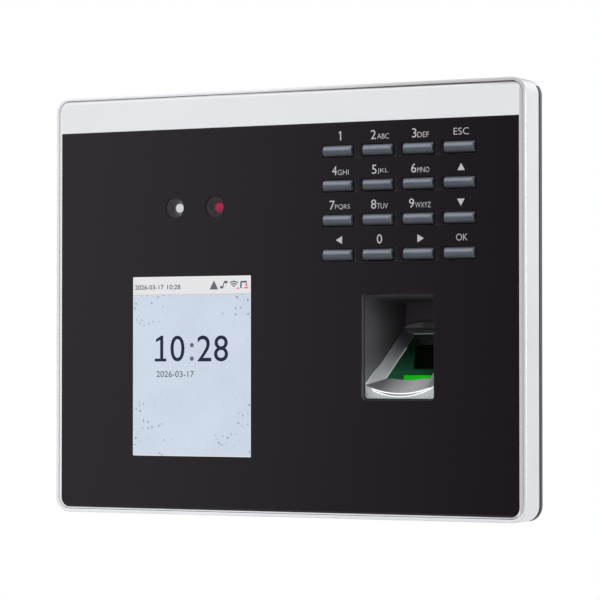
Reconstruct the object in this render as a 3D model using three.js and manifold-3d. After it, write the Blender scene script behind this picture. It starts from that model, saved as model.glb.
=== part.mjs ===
// Wall-mounted fingerprint terminal with a keypad, a small display and two cameras.
// Sizes are in millimetres. X runs to the right as seen from the front, Y runs from the front
// to the wall and Z is up. The origin is the middle of the wall plate's back face.
// Depths are measured back from the lens face, and heights from the middle of the frame.

import * as THREE from 'three';
import { mergeVertices } from 'three/addons/utils/BufferGeometryUtils.js';
import Module from 'manifold-3d';

const wasm = await Module();
wasm.setup();

// Fits and cutting allowances
const seatGap = 0.3;
const fitGap = 0.15;
const overrun = 1;
const sink = 0.4;
const weld = 0.0001;

// Front frame
const frameWidth = 167;
const frameHeight = 135.5;
const frameCorner = 5;
const frameDepth = 10.2;
const frameWall = 2.2;
const frontWall = 1.8;
const rimWidth = 1.1;
const rimEase = 0.4;

// Rear cover: a dark rim behind the frame and a raised box towards the wall
const bodyDepth = 35;
const coverRimDepth = 2.8;
const grooveInset = 0.6;
const grooveDepth = 0.5;
const coverRimEase = 0.4;
const boxInset = 9.5;
const boxSinkInset = 8;
const boxCorner = 8;
const boxEdge = 1.5;
const coverWall = 2;

// Wall plate, its hooks and its locking tab
const plateThickness = 1.5;
const plateInset = 6.5;
const plateCorner = 6;
const plateHoleInsetX = 17.5;
const plateHoleInsetTop = 13.25;
const plateHoleAboveWindow = 10.5;
const plateSlotLength = 9;
const plateSlotWidth = 5;
const hookInset = 21.5;
const hookDrop = 26.25;
const hookWidth = 12;
const hookLip = 3;
const hookLipThickness = 1.2;
const hookSlotHeight = 8;
const tabWidth = 16;
const tabLength = 12;

// Lens and its adhesive
const lensThickness = 1.8;
const lensGap = 0.12;
const lensBevelWidth = 1;
const lensBevelDepth = 0.35;
const tapeThickness = 0.2;
const tapeWidth = 3;
const tapeInset = 0.6;

// Keypad: four columns and four rows of bar keys, its middle placed by a share of the frame's width
const keyColumns = 4;
const keyRows = 4;
const keypadXShare = 0.2446;
const keypadAbovePocket = 44.95;
const keyWidth = 10.5;
const keyHeight = 3.6;
const keySpacingX = 3.35;
const keySpacingZ = 7.23;
const keyProud = 1.5;
const keyCrown = 1.3;
const keyEndLean = 0.35;
const keyGap = 0.2;
const keyTravel = 1.2;
const keyFlange = 0.8;
const keyFlangeReach = 0.8;
const keySlotCorner = 0.2;

// Silicone mat under the keys, and its circuit board
const matMarginX = 4.4;
const matMarginZ = 3.6;
const matBase = 0.7;
const domeRest = 0.2;
const domeRadius = 2.6;
const domeTipRadius = 1.3;
const keypadBoardMargin = 0.4;
const boardThickness = 1.6;

// Display, its middle placed by shares of the frame
const displayXShare = -0.1949;
const displayZShare = -0.1697;
const displayWidth = 50;
const displayHeight = 69.2;
const displayGlass = 1.6;
const displayCell = 2.4;
const displayBezelSide = 3.4;
const displayBezelTop = 3;
const displayBezelBottom = 8.6;
const displayStep = 0.3;

// Cameras, their middle placed by shares of the frame
const cameraXShare = -0.1886;
const cameraZShare = 0.2273;
const cameraSpacing = 14.6;
const cameraBarrel = 3;
const cameraHolder = 8;
const cameraHolderDepth = 2.4;
const cameraLensRadius = 2;
const cameraLensRise = 0.4;
const cameraInset = 0.4;
const cameraBoardWidth = 42;
const cameraBoardHeight = 15;

// Finger pocket: a drafted sleeve behind the opening in the lens
const pocketFromKeypad = 0.5;
const pocketZShare = -0.1048;
const pocketWidth = 24;
const pocketTall = 32.3;
const pocketGap = 0.35;
const pocketCorner = 0.9;
const pocketBackGap = 1.9;
const pocketSideDraft = 1.05;
const pocketTopDraft = 1.6;
const pocketWall = 1.4;
const pocketFlange = 2.5;
const pocketFlangeThickness = 1.2;

// Sloping sensor bezel in the pocket, its glass and its end stop
const glassSlope = 32.9;
const glassFrontDepth = 7.8;
const glassAboveBottom = 6.28;
const glassWidth = 15;
const glassUnderStop = 0.5;
const glassThickness = 2.7;
const glassBelowFunnel = 0.1;
const rimFrontRise = 1.64;
const rimBackRise = 2.3;
const stopThickness = 1.3;
const stopRise = 1.95;
const bezelUnder = 1.6;
const bezelFlange = 1.2;
const bezelFlangeReach = 2;
const funnelRise = 3;
const scoopRadius = 21;
const scoopBelowGlass = 0.67;
const scoopDrop = 4.8;

// Optics under the glass
const opticsSide = 1.7;
const opticsFront = 9.8;
const opticsPastPocket = 0.4;
const opticsBelowGlass = 19.87;
const chamberSide = 0.6;
const chamberFrontWall = 1.2;
const chamberBelowGlass = 3.87;
const ledgeRise = 4.9;
const chamberBackWall = 2.4;
const chamberBackLean = 1.9;
const chamberBackRise = 6.8;
const lightBarFromGlassFront = 12.6;
const lightBarThickness = 1.3;
const sensorBoardSide = 3.8;

// Main board and what it carries
const mainBoardLeft = 9.5;
const mainBoardBottom = 8.25;
const mainBoardGap = 2.85;
const mainBoardTopGap = 3.3;
const boardEdge = 2;
const boardCorner = 1;
const boardBossInset = 3.5;
const processorWidth = 24;
const processorTall = 18;
const processorGap = 1.5;
const processorStack = 1.2;
const processorChip = 1.4;
const processorChipSize = 12;
const cellRadius = 6.5;
const cellFromLeft = 10;
const cellFromTop = 11;
const cellThickness = 3.2;
const cellClip = 4;
const antennaSideGap = 1.6;
const antennaBottomGap = 3.7;
const antennaTopGap = 4.5;
const antennaThickness = 1;

// Connector bay in the rear cover, placed by shares of the frame, and the sockets above it
const bayXShare = -0.1677;
const bayZShare = -0.2546;
const bayHeight = 24;
const bayCorner = 2;
const bayFloorGap = 0.6;
const bayWall = 1.5;
const socketGap = 2.6;
const plateWindowInset = 6;
const plateWindowHeight = 20;
const ethernetWidth = 16;
const ethernetLength = 21;
const ethernetDepth = 13.5;
const socketWidth = 11.8;
const socketDepth = 6.8;
const socketLength = 12;
const socketFloor = 2;
const latchWidth = 6;
const latchDepth = 2;
const powerWidth = 9;
const powerLength = 14;
const powerDepth = 11;
const powerBore = 3.1;
const powerPin = 1;
const powerBoreLength = 9.5;
const headerWidth = 15;
const headerLength = 9;
const headerDepth = 7.4;
const headerWall = 1.1;
const headerSlot = 3.6;
const headerSlotLength = 6.5;
const headerPins = 4;
const headerPinPitch = 3.5;
const headerPinSize = 1;

// Speaker against the right wall of the rear cover, its middle placed by a share of the height
const speakerZShare = -0.185;
const speakerTall = 26;
const speakerDepth = 12;
const speakerThickness = 7;
const speakerCone = 4.5;
const speakerConeSink = 1;
const grilleSlots = 6;
const grillePitch = 3.6;
const grilleSlotWidth = 1.4;
const grilleSlotLength = 9;

// Tamper switch and its plunger
const tamperFromRight = 6;
const tamperFromTop = 10;
const tamperSize = 6;
const tamperBody = 3.2;
const tamperButton = 1.2;
const tamperButtonRise = 0.3;
const plungerRadius = 1.5;
const plungerTravel = 0.3;
const plungerCollar = 2.6;
const plungerCollarThickness = 1.5;
const plungerCollarDepth = 20;
const plungerGuide = 3;
const plungerRunning = 0.25;

// Screws and the bosses that take them
const housingBossInset = 5.9;
const housingBoss = 3;
const housingShank = 1.2;
const housingHead = 2.6;
const housingHeadHeight = 1.5;
const boardBoss = 1.9;
const boardShank = 0.9;
const boardHead = 1.8;
const boardHeadHeight = 1.3;
const screwTipGap = 0.5;
const lockShank = 1.5;
const lockHead = 3;
const lockHeadHeight = 2;
const lockReach = 1.5;

// Facets of round shapes
const cornerSteps = 8;
const smallSteps = 2;
const smallSides = 12;
const boreSides = 20;
const fineSides = 32;
const crownSteps = 8;
const scoopSides = 96;

// Levels behind the lens face, from the front to the wall
const overallDepth = bodyDepth + plateThickness;
const shelfDepth = lensThickness + tapeThickness;
const wallBack = shelfDepth + frontWall;
const flangeFront = wallBack + keyGap / 2;
const flangeBack = flangeFront + keyFlange;
const domeTip = flangeBack + keyGap;
const domeHeight = keyTravel + domeRest;
const matFront = domeTip + domeHeight;
const boardFront = matFront + matBase;
const boardBack = boardFront + boardThickness;
const mainFront = shelfDepth + displayGlass + displayCell;
const mainBack = mainFront + boardThickness;
const rimBack = frameDepth + coverRimDepth;
const coverInside = bodyDepth - coverWall;
const tabFront = bodyDepth - tabLength;
const lockDepth = bodyDepth - tabLength / 2;

// Outlines of the lens, the box and the wall plate
const lensWidth = frameWidth - 2 * (rimWidth + lensGap);
const lensHeight = frameHeight - 2 * (rimWidth + lensGap);
const lensCorner = frameCorner - rimWidth - lensGap;
const boxWidth = frameWidth - 2 * boxInset;
const boxHeight = frameHeight - 2 * boxSinkInset;
const plateWidth = boxWidth - 2 * plateInset;
const plateHeight = boxHeight - 2 * plateInset;
const hookSpacing = plateWidth - 2 * hookInset;
const hookHeight = plateHeight / 2 - hookDrop;
const tabZ = -boxHeight / 2 + coverWall + seatGap;

// Finger pocket, glass and optics
const pocketX = keypadXShare * frameWidth - pocketFromKeypad;
const pocketHeight = pocketZShare * frameHeight;
const pocketBottom = pocketHeight - pocketTall / 2;
const pocketBack = coverInside - pocketWall - pocketBackGap;
const slope = THREE.MathUtils.degToRad(glassSlope);
const stopFront = pocketBack - stopThickness;
const glassLength = (stopFront + glassUnderStop - glassFrontDepth) / Math.cos(slope);
const glassFrontHeight = pocketBottom + glassAboveBottom;
const rimFrontHeight = slopeHeight(lensThickness, rimFrontRise);
const rimBackHeight = slopeHeight(stopFront, rimBackRise);
const scoopBackHeight = glassFrontHeight - scoopBelowGlass;
const opticsWidth = glassWidth + 2 * opticsSide;
const opticsBack = pocketBack + opticsPastPocket;
const opticsBottom = glassFrontHeight - opticsBelowGlass;
const chamberWidth = glassWidth - 2 * chamberSide;
const chamberFloor = glassFrontHeight - chamberBelowGlass;
const ledgeHeight = chamberFloor + ledgeRise;
const lightBarBack = glassFrontDepth + lightBarFromGlassFront;
const sensorBoardWidth = opticsWidth + 2 * sensorBoardSide;

// Keypad, its mat and its board
const keyPitchX = keyWidth + keySpacingX;
const keyPitchZ = keyHeight + keySpacingZ;
const keypadX = keypadXShare * frameWidth;
const keypadHeight = pocketHeight + keypadAbovePocket;
const keySpanX = (keyColumns - 1) * keyPitchX;
const keySpanZ = (keyRows - 1) * keyPitchZ;
const matWidth = keySpanX + 2 * matMarginX;
const matHeight = keySpanZ + 2 * matMarginZ;
const keypadBossSpacing = keySpanX + keyWidth + 2 * (keyFlangeReach + keyGap + boardBoss);
const keypadBoardWidth = keypadBossSpacing + 2 * boardBoss;
const keypadBoardHeight = matHeight + 2 * keypadBoardMargin;

// Display and cameras
const displayX = displayXShare * frameWidth;
const displayZ = displayZShare * frameHeight;
const displayTop = displayZ + displayHeight / 2;
const cameraX = cameraXShare * frameWidth;
const cameraHeight = cameraZShare * frameHeight;
const cameraBossSpacing = cameraBoardWidth - 2 * boardBossInset;

// Connector bay, and the sockets in a row above it
const bayX = bayXShare * frameWidth;
const bayZ = bayZShare * frameHeight;
const bayTop = bayZ + bayHeight / 2;
const bayFloor = mainBack + bayFloorGap + bayWall;
const bayWidth = powerWidth + ethernetWidth + 2 * headerWidth + 5 * socketGap;
const powerX = bayX - bayWidth / 2 + socketGap + powerWidth / 2;
const ethernetX = powerX + powerWidth / 2 + socketGap + ethernetWidth / 2;
const firstHeaderX = ethernetX + ethernetWidth / 2 + socketGap + headerWidth / 2;
const headerPlaces = [firstHeaderX, firstHeaderX + headerWidth + socketGap];

// Main board: beside the keypad board above, and as wide as the bay below
const mainLeft = mainBoardLeft - frameWidth / 2;
const mainBottom = mainBoardBottom - frameHeight / 2;
const mainTop = cameraHeight - cameraBoardHeight / 2 - mainBoardTopGap;
const mainRight = keypadX - keypadBoardWidth / 2 - mainBoardGap;
const mainLowerRight = bayX + bayWidth / 2 + boardEdge;
const processorX = firstHeaderX + (processorWidth - headerWidth) / 2;
const processorBottom = bayTop + seatGap + headerLength + processorGap;
const processorHeight = processorBottom + processorTall / 2;
const cellX = mainLeft + cellFromLeft;
const cellHeight = mainTop - cellFromTop;
const tamperX = mainRight - tamperFromRight;
const tamperZ = mainTop - tamperFromTop;
const antennaLeft = housingBossInset + housingBoss + antennaSideGap - frameWidth / 2;
const antennaBottom = cameraHeight + cameraBoardHeight / 2 + antennaBottomGap;
const antennaTop = frameHeight / 2 - frameWall - antennaTopGap;

// Speaker
const speakerZ = speakerZShare * frameHeight;
const speakerWall = boxWidth / 2 - coverWall;
const speakerMiddle = (rimBack + coverInside) / 2;

const signs = [-1, 1];

// Helpers: outlines lie in the X and Z plane, and levels are depths behind the lens face
function atDepth(depth) {
  return depth - overallDepth;
}

function roundedOutline(width, height, radius, x = 0, z = 0, steps = cornerSteps) {
  const r = Math.min(radius, width / 2 - weld, height / 2 - weld);
  const corners = [[1, 1], [-1, 1], [-1, -1], [1, -1]];
  return corners.flatMap(([sideX, sideZ], quarter) =>
    Array.from({ length: steps + 1 }, (_, step) => {
      const angle = (quarter + step / steps) * Math.PI / 2;
      return new THREE.Vector2(
        x + sideX * (width / 2 - r) + r * Math.cos(angle),
        z + sideZ * (height / 2 - r) + r * Math.sin(angle));
    }));
}

// The same outline with every side moved outwards, or inwards where the distance is negative
function grownOutline(width, height, radius, by, x = 0, z = 0) {
  return roundedOutline(width + 2 * by, height + 2 * by, radius + by, x, z);
}

function ring(outline, depth) {
  return outline.map((point) => new THREE.Vector3(point.x, atDepth(depth), point.y));
}

function solid(geometry) {
  const bare = geometry.clone();
  bare.deleteAttribute('normal');
  bare.deleteAttribute('uv');
  const merged = mergeVertices(bare, weld);
  const points = merged.attributes.position;
  const corner = (index) => new THREE.Vector3().fromBufferAttribute(points, index);
  const faces = [];
  let volume = 0;
  for (let i = 0; i < merged.index.count; i += 3) {
    const [a, b, c] = [0, 1, 2].map((step) => merged.index.getX(i + step));
    if (a !== b && b !== c && c !== a) {
      faces.push(a, b, c);
      volume += corner(a).dot(corner(b).cross(corner(c)));
    }
  }
  const outward = volume > 0 ? faces : faces.reverse();
  return new wasm.Manifold(new wasm.Mesh({
    numProp: 3,
    vertProperties: new Float32Array(points.array),
    triVerts: new Uint32Array(outward),
  }));
}

function capFaces(contour) {
  const forward = THREE.ShapeUtils.area(contour) > 0;
  return THREE.ShapeUtils.triangulateShape(contour.slice(), []).map(([a, b, c]) => {
    const same = (THREE.ShapeUtils.area([contour[a], contour[b], contour[c]]) > 0) === forward;
    return same ? [a, b, c] : [a, c, b];
  });
}

// Skins the rings one after another and closes the first and the last
function loft(rings, flatten = (point) => new THREE.Vector2(point.x, point.z)) {
  const count = rings[0].length;
  const last = (rings.length - 1) * count;
  const faces = [];
  for (let start = 0; start < last; start += count) {
    for (let i = 0; i < count; i += 1) {
      const next = (i + 1) % count;
      faces.push([start + i, start + next, start + count + next]);
      faces.push([start + i, start + count + next, start + count + i]);
    }
  }
  capFaces(rings[0].map(flatten)).forEach(([a, b, c]) => faces.push([a, c, b]));
  capFaces(rings[rings.length - 1].map(flatten)).forEach((face) =>
    faces.push(face.map((index) => index + last)));
  const geometry = new THREE.BufferGeometry().setFromPoints(rings.flat());
  geometry.setIndex(faces.flat());
  return solid(geometry);
}

function plate(outline, front, back) {
  const geometry = new THREE.ExtrudeGeometry(new THREE.Shape(outline),
    { depth: back - front, bevelEnabled: false });
  geometry.rotateX(Math.PI / 2);
  geometry.translate(0, atDepth(back), 0);
  return solid(geometry);
}

function tapered(frontOutline, front, backOutline, back) {
  return loft([ring(frontOutline, front), ring(backOutline, back)]);
}

function block(left, right, front, back, bottom, top) {
  const geometry = new THREE.BoxGeometry(right - left, back - front, top - bottom);
  geometry.translate((left + right) / 2, atDepth((front + back) / 2), (bottom + top) / 2);
  return solid(geometry);
}

function rod(radius, front, back, x, z, sides = boreSides) {
  const geometry = new THREE.CylinderGeometry(radius, radius, back - front, sides);
  geometry.translate(x, atDepth((front + back) / 2), z);
  return solid(geometry);
}

function upright(radius, bottom, top, x, depth, sides = boreSides) {
  const geometry = new THREE.CylinderGeometry(radius, radius, top - bottom, sides);
  geometry.rotateX(Math.PI / 2);
  geometry.translate(x, atDepth(depth), (bottom + top) / 2);
  return solid(geometry);
}

function crosswise(radius, left, right, depth, z, sides = boreSides) {
  const geometry = new THREE.CylinderGeometry(radius, radius, right - left, sides);
  geometry.rotateZ(Math.PI / 2);
  geometry.translate((left + right) / 2, atDepth(depth), z);
  return solid(geometry);
}

// A profile of depth and height pairs, extruded along X between left and right
function sideProfile(profile, left, right) {
  const section = (x) => profile.map(([depth, z]) => new THREE.Vector3(x, atDepth(depth), z));
  return loft([section(left), section(right)], (point) => new THREE.Vector2(point.y, point.z));
}

function join(first, ...others) {
  return others.reduce((whole, piece) => whole.add(piece), first);
}

function cut(body, ...tools) {
  return tools.reduce((whole, tool) => whole.subtract(tool), body);
}

function rectangleOf(spacingX, spacingZ, x = 0, z = 0) {
  return signs.flatMap((sideX) => signs.map((sideZ) =>
    [x + sideX * spacingX / 2, z + sideZ * spacingZ / 2]));
}

function piece(name, shape, color, roughness, metalness = 0) {
  const { vertProperties, triVerts } = shape.getMesh();
  const geometry = new THREE.BufferGeometry();
  geometry.setAttribute('position', new THREE.BufferAttribute(vertProperties, 3));
  geometry.setIndex(new THREE.BufferAttribute(triVerts, 1));
  geometry.computeVertexNormals();
  const mesh = new THREE.Mesh(geometry, new THREE.MeshStandardMaterial({ color, roughness, metalness }));
  mesh.name = name;
  return mesh;
}

// Places on the sloping glass: along runs up the slope, rise stands square to it
function onGlass(along, rise) {
  return [
    glassFrontDepth + along * Math.cos(slope) - rise * Math.sin(slope),
    glassFrontHeight + along * Math.sin(slope) + rise * Math.cos(slope),
  ];
}

function toGlass(depth, z) {
  const back = depth - glassFrontDepth;
  const up = z - glassFrontHeight;
  return {
    along: back * Math.cos(slope) + up * Math.sin(slope),
    rise: up * Math.cos(slope) - back * Math.sin(slope),
  };
}

// Height, at a depth, of a plane that lies the given distance above the glass
function slopeHeight(depth, rise) {
  return glassFrontHeight + (depth - glassFrontDepth) * Math.tan(slope) + rise / Math.cos(slope);
}

function slopingBlock(halfWidth, alongStart, alongEnd, riseStart, riseEnd) {
  const profile = [
    onGlass(alongStart, riseStart), onGlass(alongEnd, riseStart),
    onGlass(alongEnd, riseEnd), onGlass(alongStart, riseEnd),
  ];
  return sideProfile(profile, pocketX - halfWidth, pocketX + halfWidth);
}

// Keypad
const keyNames = [
  ['key_1', 'key_2', 'key_3', 'key_esc'],
  ['key_4', 'key_5', 'key_6', 'key_up'],
  ['key_7', 'key_8', 'key_9', 'key_down'],
  ['key_left', 'key_0', 'key_right', 'key_ok'],
];

const keyPlaces = keyNames.flatMap((names, row) => names.map((name, column) => ({
  name,
  x: keypadX - keySpanX / 2 + column * keyPitchX,
  z: keypadHeight + keySpanZ / 2 - row * keyPitchZ,
})));

function keySlots(front, back) {
  const [width, height] = [keyWidth + 2 * keyGap, keyHeight + 2 * keyGap];
  return keyPlaces.map(({ x, z }) =>
    plate(roundedOutline(width, height, keySlotCorner, x, z, 1), front, back));
}

// A bar with a round crown and leaning ends, on a flange that the frame holds back
function keyCap(x, z) {
  const half = keyHeight / 2;
  const radius = (half ** 2 + keyCrown ** 2) / (2 * keyCrown);
  const swing = Math.asin(Math.min(1, half / radius));
  const crown = Array.from({ length: crownSteps + 1 }, (_, step) => {
    const angle = swing * (2 * step / crownSteps - 1);
    return [radius * (1 - Math.cos(angle)) - keyProud, radius * Math.sin(angle)];
  });
  const profile = [[flangeFront + sink, -half], [0, -half], ...crown, [0, half], [flangeFront + sink, half]];
  const end = (side) => profile.map(([depth, height]) => {
    const lean = keyEndLean * Math.max(0, -depth) / keyProud;
    return new THREE.Vector3(x + side * (keyWidth / 2 - lean), atDepth(depth), z + height);
  });
  const bar = loft([end(-1), end(1)], (point) => new THREE.Vector2(point.y, point.z));
  const reachX = keyWidth / 2 + keyFlangeReach;
  const reachZ = half + keyFlangeReach;
  return join(bar, block(x - reachX, x + reachX, flangeFront, flangeBack, z - reachZ, z + reachZ));
}

function keypadMat() {
  const base = plate(boardOutline(matWidth, matHeight, keypadX, keypadHeight), matFront, boardFront);
  const domes = keyPlaces.map(({ x, z }) => {
    const dome = new THREE.CylinderGeometry(domeRadius, domeTipRadius, domeHeight + matBase / 2, smallSides);
    dome.translate(x, atDepth((domeTip + matFront + matBase / 2) / 2), z);
    return solid(dome);
  });
  return join(base, ...domes);
}

// Circuit boards and the places of their screws
const mainScrews = [
  [mainLeft + boardBossInset, mainTop - boardBossInset],
  [mainRight - boardBossInset, mainTop - boardBossInset],
  [mainLeft + boardBossInset, mainBottom + boardBossInset],
  [mainLowerRight - boardBossInset, mainBottom + boardBossInset],
];
const keypadScrews = rectangleOf(keypadBossSpacing, 2 * keyPitchZ, keypadX, keypadHeight);
const cameraPlaces = signs.map((side) => cameraX + side * cameraSpacing / 2);
const cameraScrews = signs.map((side) => [cameraX + side * cameraBossSpacing / 2, cameraHeight]);
const housingScrewPlaces = rectangleOf(
  frameWidth - 2 * housingBossInset, frameHeight - 2 * housingBossInset);

function boardOutline(width, height, x, z) {
  return roundedOutline(width, height, boardCorner, x, z, smallSteps);
}

function circuitBoard(outlines, front, screws) {
  const holes = screws.map(([x, z]) =>
    rod(boardShank + fitGap, front - overrun, front + boardThickness + overrun, x, z, smallSides));
  return cut(join(...outlines.map((outline) => plate(outline, front, front + boardThickness))), ...holes);
}

function keypadBoard() {
  const outline = boardOutline(keypadBoardWidth, keypadBoardHeight, keypadX, keypadHeight);
  return circuitBoard([outline], boardFront, keypadScrews);
}

function cameraBoard() {
  const outline = boardOutline(cameraBoardWidth, cameraBoardHeight, cameraX, cameraHeight);
  return circuitBoard([outline], boardFront, cameraScrews);
}

// The upper part ends before the keypad board, and the lower part runs under the whole bay
function mainBoard() {
  const part = (right, bottom, top) =>
    boardOutline(right - mainLeft, top - bottom, (mainLeft + right) / 2, (bottom + top) / 2);
  const step = processorBottom + processorTall + boardEdge;
  return circuitBoard([
    part(mainRight, mainBottom, mainTop), part(mainLowerRight, mainBottom, step),
  ], mainFront, mainScrews);
}

function bosses(places, radius, bore, back) {
  return places.map(([x, z]) => cut(
    rod(radius, wallBack - sink, back, x, z, smallSides),
    rod(bore, wallBack, back + overrun, x, z, smallSides)));
}

// Lens with its bevelled edge, key slots and finger opening
function frontLens() {
  const edge = roundedOutline(lensWidth, lensHeight, lensCorner);
  const face = grownOutline(lensWidth, lensHeight, lensCorner, -lensBevelWidth);
  const body = loft([ring(face, 0), ring(edge, lensBevelDepth), ring(edge, lensThickness)]);
  const opening = grownOutline(pocketWidth, pocketTall, pocketCorner, pocketGap, pocketX, pocketHeight);
  const through = [-overrun, lensThickness + overrun];
  return cut(body, ...keySlots(...through), plate(opening, ...through));
}

function lensTape() {
  const outer = grownOutline(lensWidth, lensHeight, lensCorner, -tapeInset);
  const reach = tapeInset + tapeWidth;
  const inner = roundedOutline(lensWidth - 2 * reach, lensHeight - 2 * reach, lensCorner - tapeInset);
  return cut(plate(outer, lensThickness, shelfDepth),
    plate(inner, lensThickness - overrun, shelfDepth + overrun));
}

function frontFrame() {
  const outer = roundedOutline(frameWidth, frameHeight, frameCorner);
  const eased = grownOutline(frameWidth, frameHeight, frameCorner, -rimEase);
  const shell = loft([ring(eased, 0), ring(outer, rimEase), ring(outer, frameDepth)]);
  const lensSeat = grownOutline(lensWidth, lensHeight, lensCorner, lensGap);
  const inside = grownOutline(frameWidth, frameHeight, frameCorner, -frameWall);
  const through = [lensThickness, wallBack + overrun];
  const displayWindow = roundedOutline(displayWidth + 2 * fitGap, displayHeight + 2 * fitGap, fitGap,
    displayX, displayZ, 1);
  const sleeve = pocketWall + fitGap;
  const pocketWindow = grownOutline(pocketWidth, pocketTall, pocketCorner, sleeve, pocketX, pocketHeight);
  const cameraWindows = cameraPlaces.map((x) => rod(cameraBarrel + seatGap, ...through, x, cameraHeight));
  const hollowed = cut(shell,
    plate(lensSeat, -overrun, shelfDepth),
    plate(inside, wallBack, frameDepth + overrun),
    plate(displayWindow, ...through),
    plate(pocketWindow, ...through),
    ...keySlots(...through),
    ...cameraWindows);
  return join(hollowed,
    ...bosses(housingScrewPlaces, housingBoss, housingShank + fitGap, frameDepth),
    ...bosses(mainScrews, boardBoss, boardShank + fitGap, mainFront),
    ...bosses([...keypadScrews, ...cameraScrews], boardBoss, boardShank + fitGap, boardFront));
}

// Display: a glass cell with a raised viewing area, on its backlight
function displayPanel() {
  const back = shelfDepth + displayGlass;
  const viewWidth = displayWidth - 2 * displayBezelSide;
  const viewHeight = displayHeight - displayBezelTop - displayBezelBottom;
  const viewZ = displayTop - displayBezelTop - viewHeight / 2;
  const cell = roundedOutline(displayWidth, displayHeight, fitGap, displayX, displayZ, 1);
  const view = roundedOutline(viewWidth, viewHeight, fitGap, displayX, viewZ, 1);
  return join(plate(cell, shelfDepth + displayStep, back), plate(view, shelfDepth, back - displayStep));
}

function displayBacklight() {
  const outline = boardOutline(displayWidth, displayHeight, displayX, displayZ);
  return plate(outline, shelfDepth + displayGlass, mainFront);
}

// Camera: a square holder, a round barrel and a domed front lens sunk in it
function camera(x) {
  const half = cameraHolder / 2;
  const holder = block(x - half, x + half, boardFront - cameraHolderDepth, boardFront,
    cameraHeight - half, cameraHeight + half);
  const front = lensThickness + cameraInset;
  const dome = Array.from({ length: crownSteps + 1 }, (_, step) => {
    const angle = Math.PI / 2 * step / crownSteps;
    return [cameraLensRadius * Math.sin(angle), front + cameraLensRise * (2 - Math.cos(angle))];
  });
  const back = boardFront - cameraHolderDepth / 2;
  const profile = [...dome, [cameraLensRadius, front], [cameraBarrel, front], [cameraBarrel, back], [0, back]]
    .map(([radius, depth]) => new THREE.Vector2(radius, atDepth(depth)));
  const barrel = new THREE.LatheGeometry(profile, boreSides);
  barrel.translate(x, 0, cameraHeight);
  return join(holder, solid(barrel));
}

// Finger pocket: sizes of its drafted hollow at a depth, grown outwards or inwards
function pocketHalfWidth(depth) {
  return pocketWidth / 2 - pocketSideDraft * (depth - lensThickness) / (pocketBack - lensThickness);
}

function pocketSection(depth, grow) {
  const drop = pocketTopDraft * (depth - lensThickness) / (pocketBack - lensThickness);
  const top = pocketHeight + pocketTall / 2 - drop + grow;
  const bottom = pocketBottom - grow;
  return roundedOutline(2 * (pocketHalfWidth(depth) + grow), top - bottom, pocketCorner + Math.max(0, grow),
    pocketX, (top + bottom) / 2);
}

function pocketHollow(grow, front, back) {
  return tapered(pocketSection(front, grow), front, pocketSection(back, grow), back);
}

function fingerPocket() {
  const back = pocketBack + pocketWall;
  const reach = pocketWall + pocketFlange;
  const bezelTop = seatGap - bezelUnder;
  const belowSlope = sideProfile([
    [lensThickness - overrun, slopeHeight(lensThickness - overrun, bezelTop)],
    [back + overrun, slopeHeight(back + overrun, bezelTop)],
    [back + overrun, opticsBottom],
    [lensThickness - overrun, opticsBottom],
  ], pocketX - pocketWidth, pocketX + pocketWidth);
  const sleeve = cut(pocketHollow(pocketWall, lensThickness, back), belowSlope);
  const flange = plate(grownOutline(pocketWidth, pocketTall, pocketCorner, reach, pocketX, pocketHeight),
    wallBack, wallBack + pocketFlangeThickness);
  return cut(join(sleeve, flange), pocketHollow(0, lensThickness - overrun, pocketBack));
}

// The lead-in that widens from the glass to the walls of the pocket
function bezelFunnel() {
  const start = toGlass(lensThickness, rimFrontHeight);
  const end = toGlass(stopFront, rimBackHeight);
  const half = glassWidth / 2;
  const section = (along) => {
    const way = (along - start.along) / (end.along - start.along);
    const wall = THREE.MathUtils.lerp(pocketHalfWidth(lensThickness), pocketHalfWidth(stopFront), way);
    const rise = THREE.MathUtils.lerp(start.rise, end.rise, way);
    const past = wall + overrun;
    const edge = rise * (past - half) / (wall - half);
    const top = edge + funnelRise;
    return [[-past, edge], [-half, 0], [half, 0], [past, edge], [past, top], [-past, top]].map(([x, up]) => {
      const [depth, z] = onGlass(along, up);
      return new THREE.Vector3(pocketX + x, atDepth(depth), z);
    });
  };
  return loft([section(start.along - 2 * overrun), section(glassLength)]);
}

// The round scoop that leads a fingertip in at the front
function bezelScoop() {
  const back = glassFrontDepth - lensThickness;
  const climb = Math.atan2(scoopDrop, back);
  const geometry = new THREE.CylinderGeometry(scoopRadius, scoopRadius, 2 * pocketTall, scoopSides);
  geometry.rotateX(climb);
  geometry.translate(pocketX,
    atDepth(lensThickness) - scoopRadius * Math.sin(climb),
    scoopBackHeight - scoopDrop + scoopRadius * Math.cos(climb));
  return solid(geometry);
}

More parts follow.
